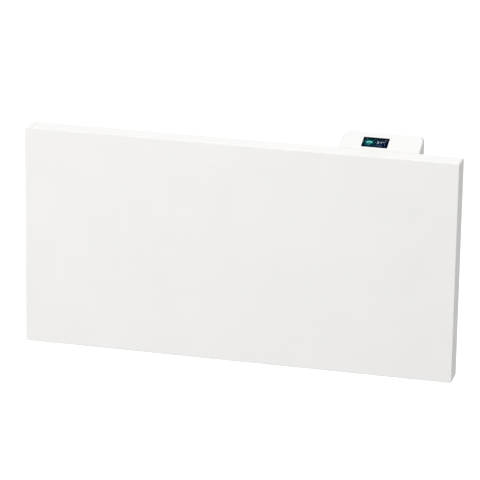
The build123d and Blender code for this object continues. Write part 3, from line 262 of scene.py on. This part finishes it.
# FR4 laminate under green solder mask: even, half gloss.
laminate = finish(
    "FR4 laminate, green solder mask", "#1F5B36", "#17482B", patch=4, grain=0.6, depth=0.01,
    roughness=0.35, spread=0.05,
)
# Grey PVC ribbon: fine ribs along its conductors.
ribbon_grey = finish(
    "PVC ribbon, grey", "#9B9DA1", "#85878B", patch=1.2, grain=0.5, depth=0.05,
    roughness=0.45, spread=0.04, stretch=(1, 0.02, 0.02),
)
# Glass-filled PBT of the relay's housing: satin blue.
pbt_blue = finish(
    "PBT, blue", "#2A4E8E", "#234277", patch=6, grain=0.4, depth=0.008,
    roughness=0.4, spread=0.04,
)
# Epoxy potting of the supply and of the panel's back: black, half matt.
resin_black = finish(
    "epoxy potting, black", "#26262A", "#1D1D20", patch=5, grain=0.4, depth=0.01,
    roughness=0.45, spread=0.05,
)
# Shrunk PET sleeve of the capacitors: dark, smooth and glossy.
sleeve_dark = finish(
    "PET sleeve, dark", "#2C2E38", "#23252E", patch=8, grain=0.8, depth=0.004,
    roughness=0.25, spread=0.04,
)
# Green polyamide of the terminal block: satin.
pa_green = finish(
    "PA66, green", "#3E7D4B", "#34693F", patch=5, grain=0.4, depth=0.008,
    roughness=0.42, spread=0.04,
)
# Zinc die casting, tumbled: soft grey with a fine even grain.
die_cast = finish(
    "zinc die casting, tumbled", "#B4B6B9", "#A3A5A8", patch=5, grain=0.4, depth=0.008,
    roughness=0.42, spread=0.05, metallic=1.0,
)
# Plain aluminium of the blind rivets, with drawing marks.
rivet_metal = finish(
    "aluminium, drawn", "#D0D1D3", "#BCBEC1", patch=2, grain=0.3, depth=0.004,
    roughness=0.32, spread=0.05, metallic=1.0,
)

WIRE_THICKNESS = 2.6  # mm


def earth_insulation():
    """Silicone with the green and yellow stripes of an earth wire, one after another along Y.

    A wave texture of scale s repeats every 2 pi / 20 s, so a pair of stripes takes 2 pi wire
    thicknesses, or 16 mm. A real wire's stripes are finer and lie side by side along it.
    """
    name = "silicone insulation, green and yellow"
    material, tree, shader = new_material(name, {"Roughness": 0.6})
    place = object_coordinates(tree)
    bands = {"Vector": place, "Scale": 1 / (20 * WIRE_THICKNESS * MM), "bands_direction": "Y"}
    stripe = add(tree, "TexWave", bands).outputs["Fac"]
    stops = [(0.45, "#3E7F35"), (0.55, "#C9C02B")]
    tint = add(tree, "ValToRGB", {"Fac": stripe, "stops": stops}).outputs["Color"]
    tree.links.new(tint, shader.inputs["Base Color"])
    grain = add(tree, "TexNoise", {"Vector": place, "Scale": 1 / (0.4 * MM)}).outputs["Fac"]
    relief = add(tree, "Bump", {"Height": grain, "Distance": 0.01 * MM}).outputs[0]
    tree.links.new(relief, shader.inputs["Normal"])
    return material


def coated_glass():
    """Float glass of the display's cover, coated against reflections: clear and flat.

    The coating takes nearly all of the mirror image away, so its index is set close to air's.
    """
    material, tree, shader = new_material(
        "cover glass, coated against reflections",
        {"Transmission Weight": 1.0, "IOR": 1.03, "Base Color": linear("#F4F7F8")},
    )
    place = object_coordinates(tree, (1, 0.3, 1))
    # What is left of its gloss varies a little over 17 mm or so, as if wiped.
    wipe = add(tree, "TexNoise", {"Vector": place, "Scale": 60.0}).outputs["Fac"]
    smear = add(tree, "MapRange", {0: wipe, 1: 0.3, 2: 0.7, 3: 0.02, 4: 0.05}).outputs[0]
    tree.links.new(smear, shader.inputs["Roughness"])
    return material


FINISHES = {
    powder_coat: ["front_panel"],
    thin_coat: ["rear_casing"],
    abs_white: ["module_base", "module_cover", "room_sensor"],
    zinc_plate: [
        "element_bracket_right", "element_bracket_left", "bracket_upright_right",
        "bracket_upright_left", "crossbar_upper", "crossbar_lower", "hanger_right", "hanger_left",
        "keeper_left", "keeper_right",
    ],
    zinc_screw: [
        "casing_screws", "module_screws", "cover_screws", "display_screws", "hinge_pin_right",
        "hinge_pin_left",
    ],
    aluminised: ["heat_shield"],
    extruded: ["heating_element"],
    tinted_steel: ["heating_rod", "element_terminals"],
    steatite: ["element_bushes", "overheat_cutout"],
    silicone_brown: ["live_wire", "link_wire"],
    silicone_blue: ["neutral_wire"],
    earth_insulation(): ["earth_wire"],
    brass: ["earth_stud"],
    nylon_natural: ["wire_clips"],
    epdm: ["cable_grommet", "rest_buffers"],
    nylon_white: [
        "cable_gland", "gland_lock_nut", "gland_cap", "lock_knob_left", "lock_knob_right",
    ],
    switch_black: ["rocker_housing"],
    key_black: ["rocker_key"],
    laminate: ["display_board", "power_board"],
    ribbon_grey: ["ribbon_cable"],
    pbt_blue: ["relay"],
    resin_black: ["power_supply", "display_panel"],
    sleeve_dark: ["board_capacitors"],
    pa_green: ["terminal_block"],
    die_cast: ["lock_cam_left", "lock_cam_right"],
    rivet_metal: ["bracket_rivets"],
    coated_glass(): ["display_window"],
}
for material, names in FINISHES.items():
    for name in names:
        slots = NODES[name].data.materials
        slots.clear()
        slots.append(material)


# Surfaces worked out with numpy


def grid_faces(rows, columns, wrap_rows, wrap_columns, first):
    """Quads between neighbouring points of a grid, joined end to start where it wraps."""
    index = first + np.arange(rows * columns).reshape(rows, columns)
    if wrap_rows:
        index = np.vstack([index, index[:1]])
    if wrap_columns:
        index = np.hstack([index, index[:, :1]])
    corners = (index[:-1, :-1], index[1:, :-1], index[1:, 1:], index[:-1, 1:])
    return np.stack(corners, axis=-1).reshape(-1, 4)


def piece(name, grids, material, body, sharp=35):
    """One object from grids of points in metres, each (points, wraps its rows, wraps its columns).

    Points that meet, as at a pole, are merged, and the faces are turned outwards. Edges sharper
    than the given degrees stay sharp.
    """
    faces, first = [], 0
    for points, wrap_rows, wrap_columns in grids:
        faces.append(grid_faces(*points.shape[:2], wrap_rows, wrap_columns, first))
        first += points.shape[0] * points.shape[1]
    mesh = bpy.data.meshes.new(name)
    vertices = np.vstack([points.reshape(-1, 3) for points, _, _ in grids])
    mesh.from_pydata(vertices.tolist(), [], np.vstack(faces).tolist())
    shape = bmesh.new()
    shape.from_mesh(mesh)
    bmesh.ops.remove_doubles(shape, verts=shape.verts, dist=1e-7)
    bmesh.ops.dissolve_degenerate(shape, edges=shape.edges, dist=1e-8)
    bmesh.ops.recalc_face_normals(shape, faces=shape.faces)
    shape.to_mesh(mesh)
    shape.free()
    mesh.shade_smooth()
    mesh.set_sharp_from_angle(angle=radians(sharp))
    mesh.materials.append(material)
    made = bpy.data.objects.new(name, mesh)
    bpy.context.scene.collection.objects.link(made)
    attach(made, body)
    return made


def capped(points):
    """The same grid with a pole at each end: the first and last rows drawn in to their middles."""
    ends = [np.repeat(row.mean(0)[None], len(row), 0) for row in (points[0], points[-1])]
    return np.concatenate([ends[0][None], points, ends[1][None]])


def stroke(path, width, height, closed=False):
    """A flat bar along a path in a plane, as (rows, 4, 3) points: u, v and height above the plane.

    At each point of the path the bar reaches half its width to both sides, along the path's normal.
    At an open path's ends the half width shrinks as the square root of the way left, which rounds
    them.
    """
    path = np.asarray(path, float)
    if closed:
        along = np.roll(path, -1, 0) - np.roll(path, 1, 0)
        half = np.full(len(path), width / 2)
    else:
        along = np.gradient(path, axis=0)
        steps = np.r_[0, np.cumsum(np.linalg.norm(np.diff(path, axis=0), axis=1))]
        left = np.minimum(np.minimum(steps, steps[-1] - steps) / (width / 2), 1)
        half = width / 2 * np.sqrt(np.maximum(1 - (1 - left) ** 2, 0.01))
    along /= np.linalg.norm(along, axis=1)[:, None]
    normal = np.stack([-along[:, 1], along[:, 0]], axis=1)
    sides = [path + normal * half[:, None], path - normal * half[:, None]]
    section = ((0, 0), (0, height), (1, height), (1, 0))
    rows = [np.c_[sides[side], np.full(len(path), level)] for side, level in section]
    return np.stack(rows, axis=1)


def line(start, end):
    """Nine points on a straight run, closer together near its ends."""
    t = (1 - np.cos(np.linspace(0, np.pi, 9))) / 2
    return np.asarray(start) + t[:, None] * (np.asarray(end, float) - np.asarray(start))


def arc(centre, radius, start, end, count):
    """Points on an arc between two angles in degrees; a full circle leaves out its last point."""
    full = abs(end - start) == 360
    angle = np.radians(np.linspace(start, end, count, endpoint=not full))
    return np.asarray(centre) + radius * np.stack([np.cos(angle), np.sin(angle)], axis=1)


# Display, with its places and sizes in mm: u to the right and v up the slope, from its middle

SLOPE = radians(22.0)
SLOPE_FOOT = np.array([229.9, -53.0, 200.0]) * MM  # on the tray's back edge
DISPLAY_UP_SLOPE = 21.7 * MM
SLOPE_AXES = np.array([(1, 0, 0), (0, cos(SLOPE), sin(SLOPE)), (0, -sin(SLOPE), cos(SLOPE))])
DISPLAY_MIDDLE = SLOPE_FOOT + SLOPE_AXES[1] * DISPLAY_UP_SLOPE

# Depths under the cover's slope. The glass is 1.5 mm thick and the panel's face lies 2.2 mm deep.
PRINT_DEPTH = 1.45
MARKS_DEPTH = 1.85
PICTURE_DEPTH = 1.9

# The black border's loops, each as width, height and corner radius, from the outermost inwards,
# and the heights of its parts from the print's depth.
BORDER_LOOPS = ((46.14, 27.64, 1.05), (46.04, 27.54, 1.0), (42.9, 24.4, 0.6), (42.4, 24.0, 0.5))
EDGE_HEIGHT = 1.42
PRINT_HEIGHT = 0.03
SEAL_FOOT = -0.44

PICTURE_HALF_SIZES = (21.5, 12.2)


def on_display(points, depth):
    """Points (u, v, height) in mm, from a depth under the cover's slope, placed in the frame."""
    points = np.asarray(points, float) * MM
    points[..., 2] -= depth * MM
    return DISPLAY_MIDDLE + points @ SLOPE_AXES


def rounded_rectangle(width, height, radius):
    """Points round a rectangle, anticlockwise: an arc of six points at each rounded corner."""
    x, y = width / 2 - radius, height / 2 - radius
    middles = [(x, y), (-x, y), (-x, -y), (x, -y)]
    return np.vstack([arc(c, radius, 90 * i, 90 * i + 90, 6) for i, c in enumerate(middles)])


def border():
    """The black round the display: rounded rectangles, joined one to the next across its section.

    It is print on the glass's underside and up its ground edge, and a light seal from there down
    towards the panel.
    """
    skin, edge, seal, inner = [rounded_rectangle(*size) for size in BORDER_LOOPS]
    section = (
        (inner, SEAL_FOOT),
        (seal, SEAL_FOOT),
        (seal, 0),
        (skin, 0),
        (skin, EDGE_HEIGHT),
        (edge, EDGE_HEIGHT),
        (edge, PRINT_HEIGHT),
        (inner, PRINT_HEIGHT),
    )
    rows = [np.c_[loop, np.full(len(loop), height)] for loop, height in section]
    return on_display(np.stack(rows, axis=1), PRINT_DEPTH)


def picture():
    """The lit area: a flat grid over the panel's opening."""
    u, v = np.meshgrid(*[np.linspace(-half, half, 3) for half in PICTURE_HALF_SIZES])
    return on_display(np.stack([u, v, np.zeros_like(u)], axis=-1), PICTURE_DEPTH)


# An unlit panel sends nothing back through the coated glass.
DARK_FACE = {"Base Color": linear("#010203"), "Roughness": 0.7, "Specular IOR Level": 0.0}


def lit(name, foot, top, strength, low, high):
    """A lit mark of the picture: its own light, from one colour at a low v to another at a high."""
    material, tree, shader = new_material(name, {**DARK_FACE, "Emission Strength": strength})
    level = add(tree, "SeparateXYZ", {"Vector": object_coordinates(tree)}).outputs["Z"]
    low_z, high_z = [on_display([[0.0, v, 0.0]], MARKS_DEPTH)[0][2] for v in (low, high)]
    share = add(tree, "MapRange", {0: level, 1: low_z, 2: high_z, 3: 0.0, 4: 1.0}).outputs[0]
    colour = add(tree, "ValToRGB", {"Fac": share, "stops": [(0.0, foot), (1.0, top)]})
    tree.links.new(colour.outputs["Color"], shader.inputs["Emission Color"])
    return material


RING_MIDDLE = (-11.4, 1.6)
GLOW_REACH = 24
# Shares of that reach, from the ring's middle outwards.
GLOW = [(0.0, "#0C6A66"), (0.25, "#03474D"), (0.42, "#022F38"), (0.58, "#011B30"), (1.0, "#010F2E")]


def picture_material():
    """The panel's glow: teal round the ring, falling off to navy over about 14 mm."""
    name = "liquid crystal panel, lit"
    material, tree, shader = new_material(name, {**DARK_FACE, "Emission Strength": 1.0})
    place = object_coordinates(tree)
    ring_place = tuple(on_display([[*RING_MIDDLE, 0.0]], PICTURE_DEPTH)[0])
    distance = {"operation": "DISTANCE", 0: place, 1: ring_place}
    reach = add(tree, "VectorMath", distance).outputs["Value"]
    share = {0: reach, 1: 0.0, 2: GLOW_REACH * MM, 3: 0.0, 4: 1.0}
    near = add(tree, "MapRange", share).outputs[0]
    # The backlight drifts a little in brightness over a centimetre or so.
    drift = add(tree, "TexNoise", {"Vector": place, "Scale": 90.0}).outputs["Fac"]
    shifted = add(tree, "MapRange", {0: drift, 1: 0.0, 2: 1.0, 3: -0.04, 4: 0.04}).outputs[0]
    where = add(tree, "Math", {"operation": "ADD", 0: near, 1: shifted}).outputs[0]
    glow = add(tree, "ValToRGB", {"Fac": where, "stops": GLOW}).outputs["Color"]
    tree.links.new(glow, shader.inputs["Emission Color"])
    return material


# Ceramic print under the glass and on its ground edge: dead black, so it sends nothing back.
border_print = finish(
    "black ceramic print", "#050607", "#030404", patch=10, grain=1.0, depth=0.001,
    roughness=0.6, spread=0.02, Specular_IOR_Level=0.0,
)
piece("display_border", [(border(), True, True)], border_print, "heater")
piece("display_picture", [(picture(), False, False)], picture_material(), "heater")

MARK_HEIGHT = 0.03


def closed_mark(path, width):
    """A bar round a closed path in the picture, as a grid for piece."""
    return on_display(stroke(path, width, MARK_HEIGHT, closed=True), MARKS_DEPTH), True, True


def open_mark(path, width):
    """A bar along an open path in the picture, its ends closed, as a grid for piece."""
    return capped(on_display(stroke(path, width, MARK_HEIGHT), MARKS_DEPTH)), False, True


RING_RADIUS, RING_STRETCH, RING_STROKE = 3.9, (1.05, 0.62), 2.6
ring_path = RING_MIDDLE + arc((0, 0), RING_RADIUS, 0, 360, 64) * RING_STRETCH
ring_light = lit("ring, lit mint", "#1F7F7E", "#7FE6D8", 1.0, -1.6, 2.4)
ring = [closed_mark(ring_path, RING_STROKE)]
piece("display_ring", ring, ring_light, "heater")

# A two, a one and a degree mark, drawn as single strokes.
TWO_MIDDLE, ONE_STEM, DEGREE_MIDDLE = 3.9, 9.9, 14.0
DIGIT_FOOT, DIGIT_TOP, DIGIT_HALF_WIDTH, DIGIT_STROKE = -0.2, 4.8, 1.5, 1.0
NECK_START = (1.2, -0.9)  # from the middle of the two's bow, where its neck leaves it
FLAG = (-1.4, -1.2)  # from the top of the one's stem to its flag's tip
DEGREE_RADIUS, DEGREE_STROKE = 0.9, 0.5
bow_middle = np.array((TWO_MIDDLE, DIGIT_TOP - DIGIT_HALF_WIDTH))
two_foot = (TWO_MIDDLE - DIGIT_HALF_WIDTH, DIGIT_FOOT)
two_end = (TWO_MIDDLE + DIGIT_HALF_WIDTH, DIGIT_FOOT)
one_top = np.array((ONE_STEM, DIGIT_TOP))
bow = arc(bow_middle, DIGIT_HALF_WIDTH, 165, -25, 25)
digit_paths = [
    np.vstack([bow, line(bow_middle + NECK_START, two_foot)]),
    line(two_foot, two_end),
    line((ONE_STEM, DIGIT_FOOT), one_top),
    line(one_top, one_top + FLAG),
]
digits = [open_mark(path, DIGIT_STROKE) for path in digit_paths]
degree = arc((DEGREE_MIDDLE, DIGIT_TOP - DEGREE_RADIUS), DEGREE_RADIUS, 0, 360, 32)
digits.append(closed_mark(degree, DEGREE_STROKE))
digit_light = lit("digits, lit white", "#B9D2E2", "#DDEAF2", 1.0, -0.5, 5.0)
piece("display_digits", digits, digit_light, "heater")

# Start, end and width of each bar.
bar_runs = [
    ((1.6, -4.7), (12.2, -4.7), 1.1),
    ((-17.4, -4.4), (-9.4, -4.4), 0.9),
    ((-18.4, 9.8), (-15.6, 9.8), 0.8),
    ((6.7, 9.8), (8.2, 9.8), 0.8),
    ((10.3, 9.8), (11.8, 9.8), 0.8),
    ((-3.6, -8.9), (0.8, -8.9), 0.8),
]
bars = [open_mark(line(start, end), width) for start, end, width in bar_runs]
bar_light = lit("bars, lit slate", "#4F678C", "#5D7396", 0.9, -10.0, 9.0)
piece("display_bars", bars, bar_light, "heater")
level_icon = [open_mark(line((14.8, 9.9), (17.6, 9.9)), 1.3)]
icon_light = lit("level icon, lit white", "#93A2AC", "#A9B6BE", 0.9, 8.0, 11.0)
piece("display_level_icon", level_icon, icon_light, "heater")


# Casing screws, in mm

RIM_FACE = -52.4  # Y of the rim's back, on which the heads stand
HEAD_HEIGHT, CROWN_RADIUS, HEAD_ROUND = 2.0, 2.0, 1.2
SHANK_RADIUS, SHANK_LENGTH = 1.5, 6.0
POINT_RADIUS, POINT_LENGTH = 1.0, 0.6
POLE_RADIUS = 0.02
RECESS_DEPTH, RECESS_WALL = 1.1, 0.25
RECESS_HALF_WIDTH, RECESS_HALF_LENGTH = 0.57, 1.8  # at the top of its walls


def screw_profile():
    """Radius and height along a pan head screw, from the middle of its head to its shank's tip.

    The crown is flat, then come a quarter round, a straight side, the underside and the shank.
    """
    turn_down = np.radians(np.linspace(0, 90, 7))[1:]
    crown = [(radius, HEAD_HEIGHT) for radius in np.linspace(POLE_RADIUS, CROWN_RADIUS, 17)]
    side_top = HEAD_HEIGHT - HEAD_ROUND
    edge = [(CROWN_RADIUS + HEAD_ROUND * sin(t), side_top + HEAD_ROUND * cos(t)) for t in turn_down]
    shank = [
        (CROWN_RADIUS + HEAD_ROUND, 0.0),
        (SHANK_RADIUS, 0.0),
        (SHANK_RADIUS, POINT_LENGTH - SHANK_LENGTH),
        (POINT_RADIUS, -SHANK_LENGTH),
        (POLE_RADIUS, -SHANK_LENGTH),
    ]
    return np.array(crown + edge + shank)


def cross_recess(x, z):
    """Depth at a place on the crown: two crossing slots whose walls slope straight down."""
    narrow = np.minimum(np.abs(x), np.abs(z))
    long = np.maximum(np.abs(x), np.abs(z))
    across = np.clip((RECESS_HALF_WIDTH - narrow) / RECESS_WALL, 0, 1)
    lengthwise = np.clip((RECESS_HALF_LENGTH - long) / RECESS_WALL, 0, 1)
    return RECESS_DEPTH * across * lengthwise


def casing_screw(x, z, turned):
    """A screw standing on the casing's rim: its profile carried round its axis, less the recess."""
    radius, height = screw_profile().T[:, :, None]
    angle = np.radians(np.linspace(0, 360, 48, endpoint=False))[None, :]
    from_slots = radius * np.cos(angle - turned), radius * np.sin(angle - turned)
    depth = cross_recess(*from_slots) * (height > 0)
    y = RIM_FACE + height * np.ones_like(angle) - depth
    points = np.stack([x + radius * np.cos(angle), y, z + radius * np.sin(angle)], axis=-1)
    return capped(points * MM)


# Along the top and bottom edges, then two at each side.
screw_places = [(x, z) for z in (-188, 188) for x in (-343, -117, 117, 343)]
screw_places += [(x, z) for z in (-130, 130) for x in (-378, 378)]
# Each recess stands 2.4 radians further round than the last one, as driven screws stand anyhow.
screws = [(casing_screw(x, z, 2.4 * i), False, True) for i, (x, z) in enumerate(screw_places)]
screw_heads = piece("casing_screw_heads", screws, zinc_screw, "heater", sharp=40)
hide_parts("casing_screws")


# Rocker key's marks, in mm

KEY_PIVOT = np.array([311.0, -16.5, 136.0]) * MM
KEY_ROCK = radians(10.0)
# The key's two facets meet 2.6 mm in front of its pivot and rise by 1.6 mm over 8 mm to its ends.
KEY_DIP, FACET_RISE, FACET_HEIGHT = 2.6, 1.6, 8.0
FACET = np.array([FACET_RISE, FACET_HEIGHT]) / np.hypot(FACET_RISE, FACET_HEIGHT)
MARK_LEVEL = 4.4  # from the key's middle to each mark's middle
KEY_STROKE, PAD_PRINT_HEIGHT = 0.6, 0.04


def on_key(points, end):
    """Points (u to the right, v up, height) on the key's upper (end 1) or lower (end -1) facet."""
    along = np.array([end * FACET[0], FACET[1]])
    outward = np.array([FACET[1], -end * FACET[0]])
    middle = np.array([KEY_DIP + FACET_RISE * MARK_LEVEL / FACET_HEIGHT, end * MARK_LEVEL])
    on_facet = middle + points[..., 1:2] * along + points[..., 2:3] * outward
    out, up_key = on_facet.transpose(2, 0, 1)
    x = out * cos(KEY_ROCK) + up_key * sin(KEY_ROCK)
    z = up_key * cos(KEY_ROCK) - out * sin(KEY_ROCK)
    return KEY_PIVOT + np.stack([x, points[..., 0], z], axis=-1) * MM


# Pad print on the key: opaque white ink, matt.
key_print = finish(
    "pad print, white", "#E9E9E7", "#DFDFDC", patch=3, grain=0.3, depth=0.002,
    roughness=0.55, spread=0.04,
)
one_mark = stroke(line((0, -1.7), (0, 1.7)), KEY_STROKE, PAD_PRINT_HEIGHT)
nought_mark = stroke(arc((0, 0), 1.5, 0, 360, 40), KEY_STROKE, PAD_PRINT_HEIGHT, closed=True)
key_marks = [(capped(on_key(one_mark, -1)), False, True), (on_key(nought_mark, 1), True, True)]
piece("rocker_key_marks", key_marks, key_print, "switch_key")


# Camera: where the photograph was taken from, found from the panel's four corners

YAW, PITCH, ROLL = radians(13.98), radians(18.01), radians(0.895)
DISTANCE = 5.576
TARGET = Vector((0.0050, -0.093, 0.0275))
SENSOR_WIDTH, FOCAL_LENGTH = 36, 238.4  # mm
forward = Vector((-sin(YAW) * cos(PITCH), cos(YAW) * cos(PITCH), -sin(PITCH)))
level_right = Vector((cos(YAW), sin(YAW), 0))
level_up = level_right.cross(forward)
right = cos(ROLL) * level_right + sin(ROLL) * level_up
up = -sin(ROLL) * level_right + cos(ROLL) * level_up
camera_data = bpy.data.cameras.new("camera")
camera_data.sensor_width = SENSOR_WIDTH
camera_data.lens = FOCAL_LENGTH
camera_data.clip_end = 100
camera = bpy.data.objects.new("camera", camera_data)
bpy.context.scene.collection.objects.link(camera)
turn = Matrix((right, up, -forward)).transposed().to_4x4()
camera.matrix_world = Matrix.Translation(TARGET - forward * DISTANCE) @ turn
bpy.context.scene.camera = camera


# Light, world and floor

WORLD_LEVEL = 0.485
LAMP_AIM = (0, -0.05, 0)
FLOOR_LEVEL = -0.75
FLOOR_HALF = 30.0
FLOOR_LIFT = 0.80  # brings the lit floor up to the world's white where it is seen


def white_seen(tree):
    """1 for a camera, glossy or transmission ray, else 0."""
    path = add(tree, "LightPath").outputs
    direct = {"operation": "MAXIMUM", 0: path["Is Camera Ray"], 1: path["Is Glossy Ray"]}
    some = add(tree, "Math", direct).outputs[0]
    through = {"operation": "MAXIMUM", 0: some, 1: path["Is Transmission Ray"]}
    return add(tree, "Math", through).outputs[0]


world = bpy.data.worlds.new("studio")
bpy.context.scene.world = world
world.use_nodes = True
world_tree = world.node_tree
world_tree.nodes.clear()
level_values = {0: white_seen(world_tree), 1: 0.0, 2: 1.0, 3: WORLD_LEVEL, 4: 1.0}
level = add(world_tree, "MapRange", level_values).outputs[0]
background = add(world_tree, "Background", {"Color": linear("#FFFFFF"), "Strength": level})
add(world_tree, "OutputWorld", {"Surface": background.outputs[0]})


def soft_box(name, place, size, watts):
    """A square area lamp at a place, turned to the heater."""
    data = bpy.data.lights.new(name, "AREA")
    data.shape = "SQUARE"
    data.size = size
    data.energy = watts
    lamp = bpy.data.objects.new(name, data)
    bpy.context.scene.collection.objects.link(lamp)
    aimed = (Vector(LAMP_AIM) - Vector(place)).to_track_quat("-Z", "Y").to_matrix().to_4x4()
    lamp.matrix_world = Matrix.Translation(place) @ aimed


soft_box("soft box in front", place=(-0.95, -3.8, 1.6), size=1.8, watts=97)
soft_box("soft box above and behind", place=(0.3, 1.7, 3.4), size=2.0, watts=65)

floor_data = bpy.data.meshes.new("floor")
floor_corners = [
    (x * FLOOR_HALF, y * FLOOR_HALF, FLOOR_LEVEL) for x, y in ((-1, -1), (1, -1), (1, 1), (-1, 1))
]
floor_data.from_pydata(floor_corners, [], [(0, 1, 2, 3)])
floor = bpy.data.objects.new("floor", floor_data)
bpy.context.scene.collection.objects.link(floor)
# Matt floor paint: even and pale, with no gloss to mirror the heater.
floor_material, floor_tree, floor_shader = new_material(
    "floor paint, pale",
    {"Roughness": 0.8, "Base Color": linear("#B4B4B4"), "Emission Color": linear("#FFFFFF")},
)
lift_values = {0: white_seen(floor_tree), 1: 0.0, 2: 1.0, 3: 0.0, 4: FLOOR_LIFT}
lift = add(floor_tree, "MapRange", lift_values).outputs[0]
floor_tree.links.new(lift, floor_shader.inputs["Emission Strength"])
floor_data.materials.append(floor_material)

bpy.context.scene.view_settings.view_transform = "Standard"
